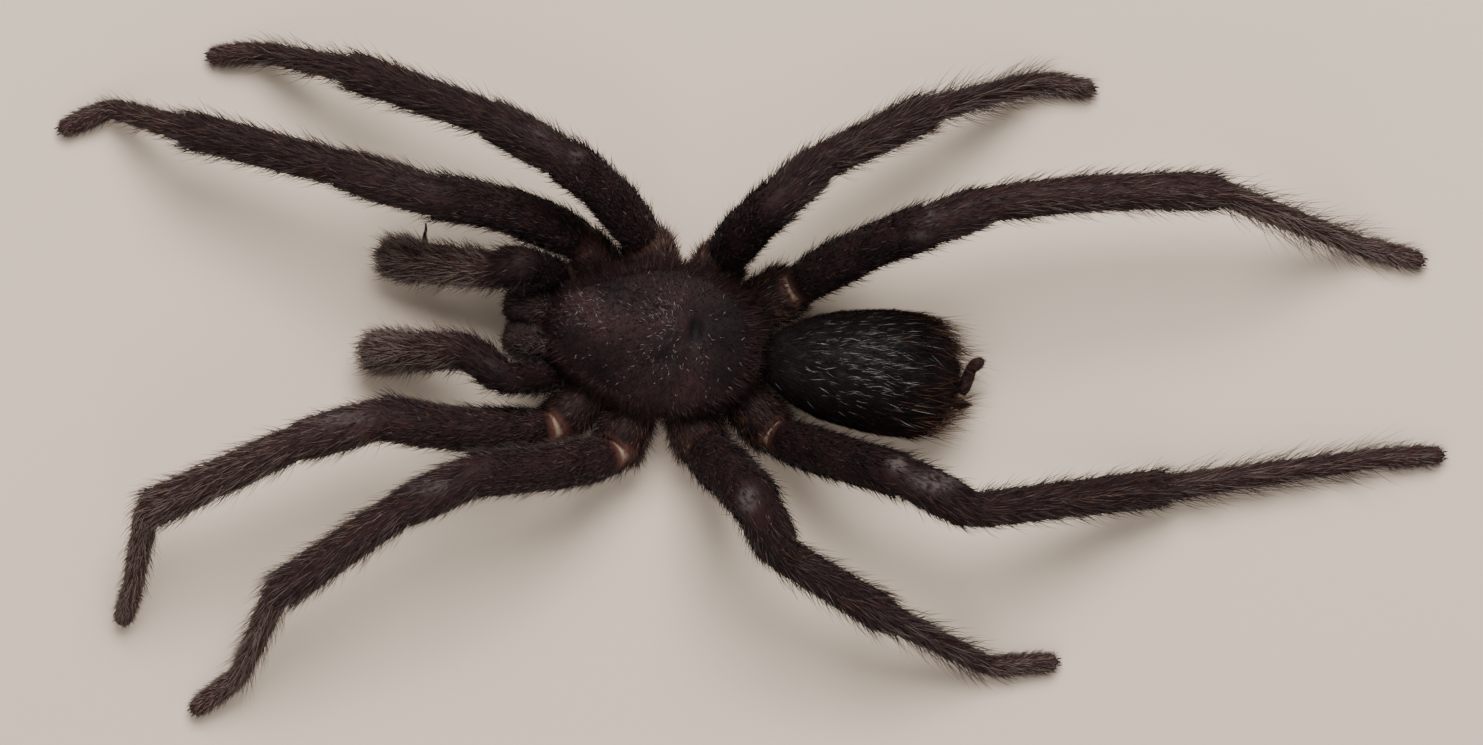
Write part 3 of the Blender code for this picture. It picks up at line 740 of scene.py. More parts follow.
def new_material(name, roughness, specular=0.5, coat=0.0):
    """A material and its shader, with the constants set; also a start for shader sums."""
    material = bpy.data.materials.new(name)
    material.use_nodes = True
    shader = material.node_tree.nodes["Principled BSDF"]
    shader.inputs["Roughness"].default_value = roughness
    shader.inputs["Specular IOR Level"].default_value = specular
    shader.inputs["Coat Weight"].default_value = coat
    return material, shader, Shade(material.node_tree, None)


def plug(shader, place, shade):
    """Feeds one input of a material's shader."""
    shade.tree.links.new(shade.socket, shader.inputs[place])


def noise_at(start, scale, detail=3.0, stretch=(1.0, 1.0, 1.0)):
    """Soft noise on the object's own coordinates; `scale` counts waves in a metre."""
    places = start.node("ShaderNodeTexCoord", output="Object")
    placed = start.node("ShaderNodeMapping", inputs={"Vector": places, "Scale": stretch})
    return start.node("ShaderNodeTexNoise", inputs={"Vector": placed, "Scale": scale, "Detail": detail})


def attribute(start, name):
    """A value that was stored on the mesh, point by point."""
    return start.node("ShaderNodeAttribute", output="Fac", attribute_name=name)


def hair_material(name, stops, roughness=0.62, specular=0.05):
    """Hair: its tone picks the colour from `stops`; the root is darker, painted shade deep in the coat, and the
    tip paler, partly the hair's own colour and partly painted light caught at the tips.
    """
    material, shader, start = new_material(name, roughness, specular)
    uv = start.node("ShaderNodeUVMap", uv_map="OFBake")
    tone = start.node("ShaderNodeSeparateXYZ", output="X", inputs={0: uv})
    up = start.node("ShaderNodeSeparateXYZ", output="Y", inputs={0: uv})
    picked = start.node("ShaderNodeValToRGB", inputs={0: tone})
    colours = picked.socket.node.color_ramp
    colours.elements[0].position, colours.elements[0].color = stops[0][0], rgba(stops[0][1])
    colours.elements[1].position, colours.elements[1].color = stops[-1][0], rgba(stops[-1][1])
    for position, colour in stops[1:-1]:
        colours.elements.new(position).color = rgba(colour)
    # Painted shade at the root and painted light towards the tip, along each hair
    strength = 0.55 + up * 0.65
    shaded = start.node("ShaderNodeVectorMath", inputs={0: picked, 3: strength}, operation="SCALE")
    plug(shader, "Base Color", shaded)
    return material


def leg_hair_material(colours):
    """The legs' hair, from near black through brown to greyish, the greyish partly painted sheen, with a few foxy
    hairs.
    """
    brown = np.array(colours.brown_hair)
    stops = (
        (0.0, colours.dark_hair), (0.45, brown), (0.8, colours.pale_hair_and_sheen), (0.9, colours.pale_hair_and_sheen),
        (0.93, colours.orange_hair), (1.0, colours.orange_hair),
    )
    return hair_material("leg hair", stops)


def skin_material(name, colour, colours, roughness=0.6, bump=0.25):
    """Shell or skin: a dark colour with soft mottling, cream at the joints, partly a painted highlight, and
    greyish where it is bare, partly a painted sheen.
    """
    material, shader, start = new_material(name, roughness, 0.07)
    mottle = noise_at(start, 900.0).step(0.3, 0.75)
    base = (mottle * 0.5 + attribute(start, "tone")).mix(rgba(colour, 0.35), rgba(colour, 2.0))
    bare = attribute(start, "bare") * noise_at(start, 2600.0).step(0.25, 0.6)
    # Bare patches turn grey: bare skin with a painted sheen
    base = bare.mix(base, rgba(colours.bare_skin_and_sheen))
    flecks = noise_at(start, 3800.0).step(0.25, 0.75) * 0.5 + 0.5
    base = (attribute(start, "joint") * flecks).mix(base, rgba(colours.joint_brown))
    # The cream crescent across the top of the joint: joint skin with a painted highlight
    base = (attribute(start, "cream") * flecks).mix(base, rgba(colours.membrane_and_highlight))
    plug(shader, "Base Color", base)
    grain = start.node("ShaderNodeBump", inputs={
        "Strength": bump, "Distance": 0.00008, "Height": noise_at(start, 5200.0, detail=2.0)})
    plug(shader, "Normal", grain)
    return material


def place_piece(thing, material, slot, *nodes):
    """Gives a piece its material, ties it to the body and hides what it stands for; `slot` is not used."""
    thing.data.materials.append(material)
    if nodes:
        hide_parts(*nodes)
    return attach(thing, BODY)


# Limbs

def patch_mask(points):
    """1 in the middle of a thin-haired patch and 0 outside: bell curves over x and y, on upper sides only; the
    skin there turns grey, bare skin with a painted sheen.
    """
    mask = np.zeros(points.shape[:-1])
    for x, y, half_x, half_y, bareness in BARE_PATCHES:
        gap = ((points[..., 0] - x) / half_x) ** 2 + ((points[..., 1] - y) / half_y) ** 2
        mask = np.maximum(mask, bareness * np.exp(-gap ** 2))
    return mask * (points[..., 2] > 5.0)


def joint_mask(tube, ring, angle, size, ahead=0.0):
    """Bare joint skin: a crescent across the top of the limb, where the femur leaves the coxa; its cream is partly
    a painted highlight. Also 1 wherever the crescent lies less than `ahead` further along."""
    joint = tube.along[np.argmax(tube.segment >= FEMUR)]
    place = np.interp(ring, np.arange(len(tube.along)), tube.along)
    turn = np.mod(angle - 0.5 * np.pi + np.pi, 2.0 * np.pi) - np.pi
    width, half_angle = size
    bulge = np.sqrt(np.clip(1.0 - (turn / half_angle) ** 2, 0.0, 1.0))
    gap = place - joint - 0.1
    gap = np.maximum(gap, -gap - ahead)
    return bulge * ramp(0.7, 0.2, gap / width)


def make_limb(name, joints, girths, profiles, sizes, materials, chance, palp=False):
    """The skin of a leg or palp, and its hair as a second piece."""
    skin_look, hair_look = materials
    tube = limb_tube(name, joints, girths, profiles, sizes.coat_depth / MM)
    sides = 24
    grid = tube_grid(tube, sides)
    rings = np.repeat(np.arange(len(tube.along), dtype=float)[:, None], sides, axis=1)
    angles = np.repeat(np.linspace(0.0, 2.0 * np.pi, sides, endpoint=False)[None], len(rings), axis=0)
    (brown, cream), tones = JOINT_SKIN[name], LIMB_TONES[name]
    tones = blur(np.array(tones)[tube.segment], 5)
    tone = np.interp(rings, np.arange(len(tube.along)), tones)
    marks = {
        "joint": brown * joint_mask(tube, rings, angles, JOINT_PATCH), "bare": patch_mask(grid),
        "cream": cream * joint_mask(tube, rings, angles, JOINT_CRESCENT), "tone": tone,
    }
    skin = closed_skin(name + "_skin", grid, marks)
    place_piece(skin, skin_look, "leg hair", name)

    def keep(ring, angle):
        bare = brown * joint_mask(tube, ring, angle, JOINT_PATCH, JOINT_COVER)
        thin = patch_mask(on_tube(tube, ring, angle)[0])
        past_hip = ramp(0.5, 2.0, np.interp(ring, np.arange(len(tube.along)), tube.along))
        return (1.0 - bare) * (1.0 - 0.5 * thin) * past_hip

    # Each hair's tone follows its segment, with pale lengthwise streaks that are partly painted sheen
    def tone_of(ring, angle, scatter_share):
        streak = 0.5 + 0.5 * np.sin(angle * 5.0 + 2.0 * np.sin(ring * 0.05)) * np.sin(angle * 11.0 + 1.3)
        level = np.interp(ring, np.arange(len(tube.along)), tones) * (1.0 + 0.5 * (streak - 0.5))
        return level + chance.normal(0.0, scatter_share, len(ring))

    def near_tip(ring):
        gap = tube.along[-1] - np.interp(ring, np.arange(len(tube.along)), tube.along)
        low = 0.8 if palp else 0.4
        return low + (1.0 - low) * ramp(0.0, 1.3, gap)

    count = int(sizes.coat_count * (0.4 if palp else 1.0))
    ring, angle = scatter(tube, count, chance, keep)
    tone = tone_of(ring, angle, 0.09)
    segment = tube.segment[np.round(ring).astype(int)]
    # A share of pale hairs: the hair's own grey and painted sheen both
    pale_ones = chance.random(len(ring)) < 0.2 * np.clip(tone, 0.0, 0.5) + 0.03 * (segment < FEMUR)
    tone = np.where(pale_ones, chance.uniform(0.55, 0.82, len(ring)), np.clip(tone, 0.0, 0.78))
    foxy = chance.random(len(ring)) < 0.3 * (segment < FEMUR) + 0.08 * (segment > METATARSUS)
    tone = np.where(foxy, 0.97, tone)
    width = sizes.hair_width / MM
    tip_hair = 1.25 if palp else 0.85
    last = segment >= len(profiles) - 1
    shorter = np.where(last, tip_hair, 1.0) * near_tip(ring)
    lean = np.where(last, 0.75, 0.4)[:, None]
    coat = combed(tube, ring, angle, chance, lean, sizes.coat_hair / MM * shorter, width, tone, locks=0.2)

    count = int(sizes.long_count * (0.5 if palp else 1.0))
    ring, angle = scatter(tube, count, chance, keep)
    segment = tube.segment[np.round(ring).astype(int)]
    reach = np.array((0.6, 0.7, 0.75, 0.8, 0.8) if palp else (0.6, 0.75, 0.8, 1.0, 1.15, 0.5))[segment]
    reach = reach * near_tip(ring)
    if not palp:
        reach = reach * np.where(segment >= METATARSUS, FAR_HAIR.get(name, 1.0), 1.0)
    tone = tone_of(ring, angle, 0.1) + (0.14 if palp else 0.08)
    foxy = chance.random(len(ring)) < 0.05
    tone = np.where(foxy, 0.97, np.clip(tone, 0.0, 0.7))
    lean = 0.75 if palp else 0.6
    long_hair = combed(tube, ring, angle, chance, lean, sizes.long_hair / MM * reach, width, tone,
                       droop=0.2, rings=2)
    ring, angle = scatter(tube, COXA_BUSH, chance, lambda ring, angle: (
        (tube.segment[np.round(ring).astype(int)] < FEMUR) * (np.sin(angle) > -0.9)
        * (1.0 - brown * joint_mask(tube, ring, angle, JOINT_PATCH, BUSH_COVER))))
    draw = chance.random(len(ring))
    tone = np.where(draw < 0.3, 0.95, np.where(draw < 0.41, 0.6, 0.7 * (draw - 0.41)))
    upward = np.clip(np.sin(angle), 0.0, 1.0)
    bush = combed(tube, ring, angle, chance, 1.0 - 0.3 * upward[:, None], 1.1 - 0.5 * upward, width, tone,
                  swirl=0.4)
    groups = [coat, long_hair, bush]
    if not palp:
        ends = np.array([tube.along[tube.segment == segment][-1] for segment in (FEMUR, TIBIA)])
        place = chance.choice(ends, JOINT_TUFT) - chance.uniform(0.0, 0.9, JOINT_TUFT)
        ring = np.interp(place, tube.along, np.arange(len(tube.along)))
        angle = np.where(chance.random(JOINT_TUFT) < 0.5, -0.3, np.pi + 0.3) + chance.normal(0.0, 0.3, JOINT_TUFT)
        groups.append(combed(tube, ring, angle, chance, 0.6, 1.5, width, chance.uniform(0.0, 0.4, JOINT_TUFT),
                             rings=2, swirl=0.3))
    hair = hair_object(name + "_hair", groups)
    return place_piece(hair, hair_look, "leg hair")


class SPECIMEN_OT_legs(bpy.types.Operator):
    """Build the eight legs: skin, short coat and long bristles"""

    bl_idname = "specimen.legs"
    bl_label = "Legs"

    def execute(self, context):
        sizes, colours = context.scene.specimen_sizes, context.scene.specimen_colours
        looks = (skin_material("leg skin", colours.shell, colours), leg_hair_material(colours))
        for seed, (name, joints) in enumerate(LEG_JOINTS.items()):
            girths = STOUT_LEG_GIRTHS if name == "leg_3_left" else LEG_GIRTHS
            girths = (COXA_GIRTHS[name], *girths)
            make_limb(name, joints, girths, LEG_RINGS, sizes, looks, np.random.default_rng(seed))
        return {"FINISHED"}


class SPECIMEN_OT_palps(bpy.types.Operator):
    """Build the two palps with their hair, and the bulb with its spike under each"""

    bl_idname = "specimen.palps"
    bl_label = "Palps"

    def execute(self, context):
        sizes, colours = context.scene.specimen_sizes, context.scene.specimen_colours
        looks = (skin_material("palp skin", colours.shell, colours), leg_hair_material(colours))
        for seed, (name, joints) in enumerate(PALP_JOINTS.items(), start=20):
            make_limb(name, joints, PALP_GIRTHS[name], PALP_RINGS, sizes, looks,
                      np.random.default_rng(seed), palp=True)
        glossy = new_material("bulb shell", 0.2, 0.6, 0.3)[0]
        glossy.node_tree.nodes["Principled BSDF"].inputs["Base Color"].default_value = rgba(colours.shell, 0.6)
        for name, stations in BULB_STATIONS.items():
            bulb = closed_skin(name + "_shell", tube_grid(station_tube(stations, 48), 20))
            place_piece(bulb, glossy, "dark shell", name)
        return {"FINISHED"}


# Body

def shield_rim(angles):
    """Distance from the shield's middle to its rim in each direction: the outline's own points in polar
    form, mixed linearly between them and blurred round the circle."""
    right = np.array(SHIELD_OUTLINE)
    outline = np.concatenate([right, (right * (1.0, -1.0))[::-1]])
    turn = np.unwrap(np.arctan2(outline[:, 1], outline[:, 0]))
    order = np.argsort(np.mod(turn, 2.0 * np.pi))
    known = np.mod(turn, 2.0 * np.pi)[order]
    reach = np.linalg.norm(outline, axis=1)[order]
    fine = np.linspace(0.0, 2.0 * np.pi, 720, endpoint=False)
    curve = np.interp(fine, known, reach, period=2.0 * np.pi)
    curve = blur(np.tile(curve, 3), 9)[720:1440]
    return np.interp(angles, fine, curve, period=2.0 * np.pi)


def shield_top(along, across, share):
    """Height of the shield above its rim: a rounded cap plus the raised head and the eye mound, minus the
    cross-wise fovea, the shallow grooves that run out from it and the furrow that sets off the head."""
    def bell(place, spread):
        return np.exp(-((along - place[0]) / spread[0]) ** 2 - ((across - place[1]) / spread[1]) ** 2)

    inner = 1.0 - share ** 6
    dome = SHIELD_DOME * np.sqrt(np.clip(1.0 - share ** 2, 0.0, 1.0))
    head = HEAD_SWELLING * bell((HEAD_MIDDLE, 0.0), HEAD_SPREAD)
    mound = EYE_MOUND_HEIGHT * bell(EYE_MOUND_PLACE, EYE_MOUND_SPREAD)
    fovea = FOVEA_DEPTH * bell(FOVEA_PLACE, FOVEA_SPREAD)
    turn = np.abs(np.arctan2(across - FOVEA_PLACE[1], along - FOVEA_PLACE[0]))
    reach = np.hypot(across - FOVEA_PLACE[1], along - FOVEA_PLACE[0])
    grooves = sum(np.exp(-((turn - angle) * reach / 0.28) ** 2) for angle in GROOVE_ANGLES)
    furrow = np.exp(-((np.abs(across) - 0.9 - 0.34 * (FOVEA_PLACE[0] - along)) / 0.3) ** 2)
    furrow = furrow * ramp(2.4, 0.8, along) * ramp(-6.0, -4.0, along)
    cut = GROOVE_DEPTH * (grooves * ramp(0.5, 1.5, reach) + 1.2 * furrow)
    return dome + (head + mound - fovea - cut) * inner


def shield_grid(sides=120):
    """Rings of the shield and trunk, from the trunk's underside out to the rim and up over the dome:
    below the rim they are ovals, above it they are the outline drawn in by the share t."""
    angles = np.linspace(0.0, 2.0 * np.pi, sides, endpoint=False)
    rim = shield_rim(angles)
    length, width = TRUNK_SIZE
    oval = np.stack([length * np.cos(angles), width * np.sin(angles)], axis=1)
    outline = np.stack([rim * np.cos(angles), rim * np.sin(angles)], axis=1)
    rings = []
    for share, z in ((0.05, TRUNK_Z[0]), (0.6, TRUNK_Z[0]), (0.95, TRUNK_Z[0] + 0.1), (1.0, TRUNK_Z[0] + 0.4),
                     (1.0, TRUNK_Z[1])):
        rings.append(on_chest(oval[:, 0] * share, oval[:, 1] * share, z))
    under = ((0.7, 4.5), (0.9, 4.58), (0.97, 4.63), (0.995, 4.72), (1.0, 4.82), (0.998, 4.93))
    for share, z in under:
        rings.append(on_chest(outline[:, 0] * share, outline[:, 1] * share, z))
    for share in np.sin(np.linspace(0.47 * np.pi, 0.004, 46)):
        along, across = outline[:, 0] * share, outline[:, 1] * share
        z = SHIELD_RIM_Z + SHIELD_RIM_THICKNESS + shield_top(along, across, share)
        rings.append(on_chest(along, across, z))
    return np.stack(rings)


def shield_material(colours):
    """The back shield: reddish brown shell, darker along the grooves, with fine pale flecks that radiate, partly
    painted glints; patches of painted shade, and the fovea pit painted near black, painted shade in the recess.
    """
    material, shader, start = new_material("shield shell", 0.7, 0.1)
    mottle = noise_at(start, 230.0, detail=5.0).step(0.36, 0.64)
    base = mottle.mix(rgba(colours.shell, 0.3), rgba(colours.shell, 1.4))
    # Pale flecks where the hair is silvery: painted glints on the shell
    flecks = noise_at(start, 4600.0, detail=4.0).step(0.56, 0.68) * attribute(start, "frost_and_glint")
    base = (flecks * 0.3).mix(base, rgba(colours.silver_hair_and_glint, 0.35))
    # Painted shade: patches of the shield darkened
    base = (attribute(start, "shade") * 0.7).mix(base, rgba(colours.shell, 0.25))
    # The fovea pit painted near black: painted shade in the recess
    base = attribute(start, "pit").mix(base, rgba(colours.dark_hair, 0.3))
    plug(shader, "Base Color", base)
    grain = start.node("ShaderNodeBump", inputs={
        "Strength": 0.4, "Distance": 0.00012, "Height": noise_at(start, 3000.0, detail=3.0)})
    plug(shader, "Normal", grain)
    return material


def body_hair_material(colours):
    """Body hair, from bluish black to silver, the silver partly painted highlights, with a few foxy brown ones."""
    stops = (
        (0.0, colours.abdomen_hair), (0.5, np.array(colours.shell) * 1.1), (0.62, colours.silver_hair_and_glint),
        (0.85, colours.silver_hair_and_glint), (0.88, colours.orange_hair), (1.0, colours.orange_hair),
    )
    return hair_material("body hair", stops, roughness=0.65, specular=0.06)


def shield_hair_material(colours):
    """The shield's hair, from near black through reddish brown to silver, the silver partly painted glints."""
    silver = np.array(colours.silver_hair_and_glint) * SHIELD_SILVER
    stops = (
        (0.0, colours.dark_hair), (0.5, np.array(colours.shell) * 2.2), (0.62, silver), (1.0, silver),
    )
    return hair_material("shield hair", stops, roughness=0.6, specular=0.1)


def highest_bell(bells, along, across):
    """The largest of a few bell curves over the shield; each has a height, and a place and spread both
    along and across."""
    return np.max([height * np.exp(-((along - a) / b) ** 2 - ((across - c) / d) ** 2)
                   for height, a, b, c, d in bells], axis=0)


def shield_hairs(chance, width):
    """Short hairs on the shield: they lie flat, point away from the fovea, and a fringe leaves the rim."""
    def roots_at(turn, share):
        reach = shield_rim(turn) * share
        along, across = reach * np.cos(turn), reach * np.sin(turn)
        z = SHIELD_RIM_Z + SHIELD_RIM_THICKNESS + shield_top(along, across, share)
        return along, across, on_chest(along, across, z)

    count = 9000
    turn = chance.random(count) * 2.0 * np.pi
    share = np.sqrt(chance.random(count)) * 0.985
    along, across, roots = roots_at(turn, share)
    clear = np.hypot((along - FOVEA_PLACE[0]) / 0.7, (across - FOVEA_PLACE[1]) / 1.0) > 1.0
    turn, share, along, across, roots = (column[clear] for column in (turn, share, along, across, roots))
    count = len(turn)
    ahead = roots_at(turn, np.clip(share + 0.01, 0.0, 0.999))[2]
    downhill = unit(ahead - roots)
    away = on_chest(along - FOVEA_PLACE[0], across - FOVEA_PLACE[1], 0.0) - on_chest(0.0, 0.0, 0.0)
    flat = unit(unit(away) + 0.35 * downhill)
    flat[:, 2] = downhill[:, 2] * ramp(0.0, 0.5, share)
    aims = unit(flat + UP * 0.28 + chance.normal(0.0, 0.6, (count, 3)))
    clumps = 0.5 + 0.5 * np.sin(along * 5.3 + 2.0 * np.sin(across * 3.1)) * np.sin(across * 4.7 - along)
    # Silvery hairs gather in clumps: partly silver hair, partly painted glints
    silver = chance.random(count) < 0.015 + 0.5 * highest_bell(SHIELD_FROST_AND_GLINT, along, across) * clumps ** 1.5
    # Hair darkens where the shield has painted shade
    dark = 0.42 * (1.0 - 0.7 * highest_bell(SHIELD_SHADE, along, across))
    tone = np.where(silver, chance.uniform(0.54, 0.66, count), chance.uniform(0.3, 1.0, count) * dark)
    lengths = np.where(silver, chance.uniform(0.2, 0.5, count), chance.uniform(0.25, 0.6, count))
    widths = 0.8 * width * chance.uniform(0.7, 1.3, count)
    roots = roots + UP * np.where(silver, 0.04, 0.0)[:, None]
    lie = (roots - UP * 0.03, aims, np.zeros((count, 3)) - UP * 0.1, lengths, widths, tone, 1)

    count = 7000
    turn = chance.random(count) * 2.0 * np.pi
    along, across, roots = roots_at(turn, chance.uniform(0.88, 0.995, count))
    out = unit(on_chest(along, across, 0.0) - on_chest(0.0, 0.0, 0.0))
    aims = unit(out + np.array((0.2, 0.0, -0.1)) + chance.normal(0.0, 0.25, (count, 3)))
    tone = chance.uniform(0.35, 0.53, count)
    rear = ramp(0.9, 0.4, np.abs(np.mod(turn + np.pi, 2.0 * np.pi) - np.pi))
    lengths = chance.uniform(0.4, 1.4 + 0.7 * rear)
    fringe = (roots - out * 0.05, aims, np.zeros((count, 3)) - UP * 0.3, lengths, np.full(count, width * 0.85),
              tone, 1)
    return lie, fringe


class SPECIMEN_OT_shield(bpy.types.Operator):
    """Build the back shield with its trunk, hair and eyes, and the chest plate under it"""

    bl_idname = "specimen.shield"
    bl_label = "Back shield"

    def execute(self, context):
        sizes, colours = context.scene.specimen_sizes, context.scene.specimen_colours
        grid = shield_grid()
        local = grid - CHEST_PLACE
        along = local[..., 0] * np.cos(CHEST_TURN) + local[..., 1] * np.sin(CHEST_TURN)
        across = -local[..., 0] * np.sin(CHEST_TURN) + local[..., 1] * np.cos(CHEST_TURN)
        frost_and_glint = highest_bell(SHIELD_FROST_AND_GLINT, along, across) * (grid[..., 2] > 4.9)
        pit = np.exp(-((along - FOVEA_PLACE[0]) / 0.45) ** 4 - ((across - FOVEA_PLACE[1]) / 0.85) ** 4)
        shade = highest_bell(SHIELD_SHADE, along, across)
        shield = closed_skin("shield", grid, {"frost_and_glint": frost_and_glint, "pit": pit * (grid[..., 2] > 4.9), "shade": shade},
                             clockwise=False)
        place_piece(shield, shield_material(colours), "back shield", "cephalothorax")
        chance = np.random.default_rng(31)
        hairs = hair_object("shield_hair", shield_hairs(chance, sizes.hair_width / MM))
        place_piece(hairs, shield_hair_material(colours), "back shield")

        glossy = new_material("eye shell", 0.55, 0.05)[0]
        glossy.node_tree.nodes["Principled BSDF"].inputs["Base Color"].default_value = (0.01, 0.008, 0.008, 1.0)
        for number, (eye_along, eye_across, radius) in enumerate(EYES, start=1):
            rim = shield_rim(np.array([np.arctan2(eye_across, eye_along)]))[0]
            share = np.hypot(eye_along, eye_across) / rim
            z = SHIELD_RIM_Z + SHIELD_RIM_THICKNESS + shield_top(eye_along, eye_across, np.minimum(share, 0.99))
            middle = on_chest(eye_along, eye_across, z + 0.2 * radius)
            turn = np.linspace(-0.49 * np.pi, 0.49 * np.pi, 14)
            rows = middle + np.stack([np.zeros(14), np.zeros(14), radius * np.sin(turn)], axis=1)
            half = np.repeat((radius * np.cos(turn))[:, None], 2, axis=1)
            spin = np.linspace(0.0, 2.0 * np.pi, 18, endpoint=False)
            ball = rows[:, None] + half[:, :1, None] * np.stack(
                [np.cos(spin), np.sin(spin), np.zeros(18)], axis=1)[None]
            place_piece(closed_skin(f"eye_{number}", ball, clockwise=False), glossy, "dark shell")

        self.sternum(colours, sizes)
        return {"FINISHED"}

    def sternum(self, colours, sizes):
        """The chest plate: an oval whose head end is drawn out into the lip, with short dark hair."""
        turn = np.linspace(0.0, 2.0 * np.pi, 96, endpoint=False)
        length, width = STERNUM_SIZE
        lip = ramp(np.cos(LIP_HALF_ANGLE) - 0.06, np.cos(LIP_HALF_ANGLE) + 0.02, np.cos(turn))
        along = -length * np.cos(turn) - LIP_REACH * lip
        across = width * np.sin(turn)
        rows = [on_chest(along * share, across * share, z)
                for share, z in through(STERNUM_LEVELS, 36).clip((0.01, 1.1), (1.0, 1.85))]
        plate = closed_skin("sternum_plate", np.stack(rows))
        place_piece(plate, skin_material("chest shell", colours.shell, colours), "chest plate", "sternum")
        chance = np.random.default_rng(32)
        count = 1500
        turn, share = chance.random(count) * 2.0 * np.pi, np.sqrt(chance.random(count)) * 0.9
        roots = on_chest(-length * np.cos(turn) * share, width * np.sin(turn) * share, 1.14)
        aims = unit(np.array((0.9, 0.0, -0.35)) + chance.normal(0.0, 0.25, (count, 3)))
        hairs = (roots, aims, np.zeros((count, 3)), chance.uniform(0.4, 0.9, count),
                 np.full(count, sizes.hair_width / MM), chance.uniform(0.1, 0.5, count), 1)
        place_piece(hair_object("sternum_hair", (hairs,)), leg_hair_material(colours), "chest plate")


def abdomen_tube():
    """The abdomen: ovals along a straight line, through the stations of width and height."""
    forward = np.array((np.cos(ABDOMEN_TURN), np.sin(ABDOMEN_TURN), 0.0))
    stations = [(*(WAIST_PLACE + forward * along), width, height) for along, width, height in ABDOMEN_STATIONS]
    return station_tube(stations, 110)


class SPECIMEN_OT_abdomen(bpy.types.Operator):
    """Build the abdomen with its coat, its long streaked hair and the spinnerets"""

    bl_idname = "specimen.abdomen"
    bl_label = "Abdomen"

    def execute(self, context):
        sizes, colours = context.scene.specimen_sizes, context.scene.specimen_colours
        tube = abdomen_tube()
        grid = tube_grid(tube, 72)
        forward, sideways = tube.forward[50], tube.side[50]
        offset = grid - WAIST_PLACE
        along, across = offset @ forward, offset @ sideways
        lungs = np.zeros(along.shape)
        for place, shift, half_along, half_across in LUNG_PLATES:
            gap = ((along - place) / half_along) ** 2 + ((across - shift) / half_across) ** 2
            lungs = np.maximum(lungs, np.exp(-gap ** 3))
        low = grid[..., 2] < 0.3
        marks = {"bare": lungs * low}
        skin = closed_skin("abdomen_skin", grid, marks)
        look = skin_material("abdomen skin", colours.abdomen_hair, colours)
        place_piece(skin, look, "abdomen hair", "abdomen")

        chance = np.random.default_rng(41)
        width = sizes.hair_width / MM

        def above_floor(ring, angle):
            return (on_tube(tube, ring, angle)[0][:, 2] > 0.35).astype(float)

        ring, angle = scatter(tube, 15000, chance, above_floor)
        tone = chance.uniform(0.0, 0.5, len(ring))
        coat = combed(tube, ring, angle, chance, 0.4, 0.75, width, tone, swirl=0.4, locks=0.3)
        ring, angle = scatter(tube, 9000, chance, lambda ring, angle: ring < 14)
        waist = combed(tube, ring, angle, chance, 1.4, 1.0, width, chance.uniform(0.2, 0.5, len(ring)))

        # Where the silver streaks gather: on the upper middle of the abdomen, partly silver hair and partly
        # painted highlights
        def middle(ring, angle):
            share = np.interp(ring, np.arange(len(tube.along)), tube.along) / tube.along[-1]
            return np.exp(-((share - 0.54) / 0.25) ** 2) * np.exp(-((angle - 1.8) / 0.8) ** 2)

        ring, angle = scatter(tube, 5200, chance, above_floor)
        share = np.interp(ring, np.arange(len(tube.along)), tube.along) / tube.along[-1]
        rear = ramp(0.55, 0.92, share)
        length = 1.0 + 1.1 * rear * ramp(1.0, 0.93, share) * chance.uniform(0.5, 1.0, len(ring))
        silver = chance.random(len(ring)) < 0.015 + 0.13 * middle(ring, angle)
        foxy = chance.random(len(ring)) < 0.03 + (0.05 + 0.14 * np.abs(np.cos(angle))) * rear
        tone = np.where(foxy, 0.95, np.where(silver, chance.uniform(0.54, 0.63, len(ring)), 0.25))
        long_hair = combed(tube, ring, angle, chance, 0.25 + 0.25 * rear[:, None], length, width * 0.85, tone,
                           droop=0.12, rings=2, swirl=0.22, locks=0.35)
        # Fine silver streaks: painted highlights on the hair, partly silver hair
        ring, angle = scatter(tube, 9000, chance, lambda ring, angle: (
            middle(ring, angle) ** 1.5 * (0.5 + 0.5 * np.sin(angle * 29.0 + 2.5 * np.sin(ring * 0.11))) ** 1.5))
        tone = chance.uniform(0.53, 0.63, len(ring))
        streaks = combed(tube, ring, angle, chance, 0.2, 0.8, width * 0.6, tone, droop=0.05, swirl=0.16, sink=0.02)
        share = chance.uniform(0.72, 0.95, REAR_TUFT)
        angle = np.where(chance.random(REAR_TUFT) < 0.5, 0.25, np.pi - 0.25) + chance.normal(0.0, 0.4, REAR_TUFT)
        tone = np.where(chance.random(REAR_TUFT) < 0.5, 0.95, 0.3)
        lean = 0.45 + 0.75 * ramp(0.72, 0.94, share)[:, None]
        tufts = combed(tube, share * (len(tube.along) - 1.0), angle, chance, lean, 2.9, width * 0.7, tone,
                       droop=0.1, rings=3, swirl=0.3)
        ring = chance.uniform(0.94, 0.995, REAR_TUFT * 3) * (len(tube.along) - 1.0)
        angle = chance.random(len(ring)) * 2.0 * np.pi
        end = combed(tube, ring, angle, chance, 1.2, 0.7, width, chance.uniform(0.0, 0.4, len(ring)), swirl=0.4)
        hair = hair_object("abdomen_hair", (coat, waist, long_hair, streaks, tufts, end))
        place_piece(hair, body_hair_material(colours), "abdomen hair")

        look = skin_material("spinneret skin", colours.shell, colours)
        for seed, (name, stations) in enumerate(SPINNERET_STATIONS.items(), start=43):
            tube = station_tube(stations, 40)
            grid = tube_grid(tube, 20)
            piece = closed_skin(name + "_skin", grid)
            place_piece(piece, look, "spinneret hair", name)
            chance = np.random.default_rng(seed)
            ring, angle = scatter(tube, 420, chance)
            tone = chance.uniform(0.1, 0.45, len(ring))
            hairs = combed(tube, ring, angle, chance, 0.4, 0.4, width, tone)
            hair = hair_object(name + "_hair", (hairs,))
            place_piece(hair, leg_hair_material(colours), "spinneret hair")
        return {"FINISHED"}


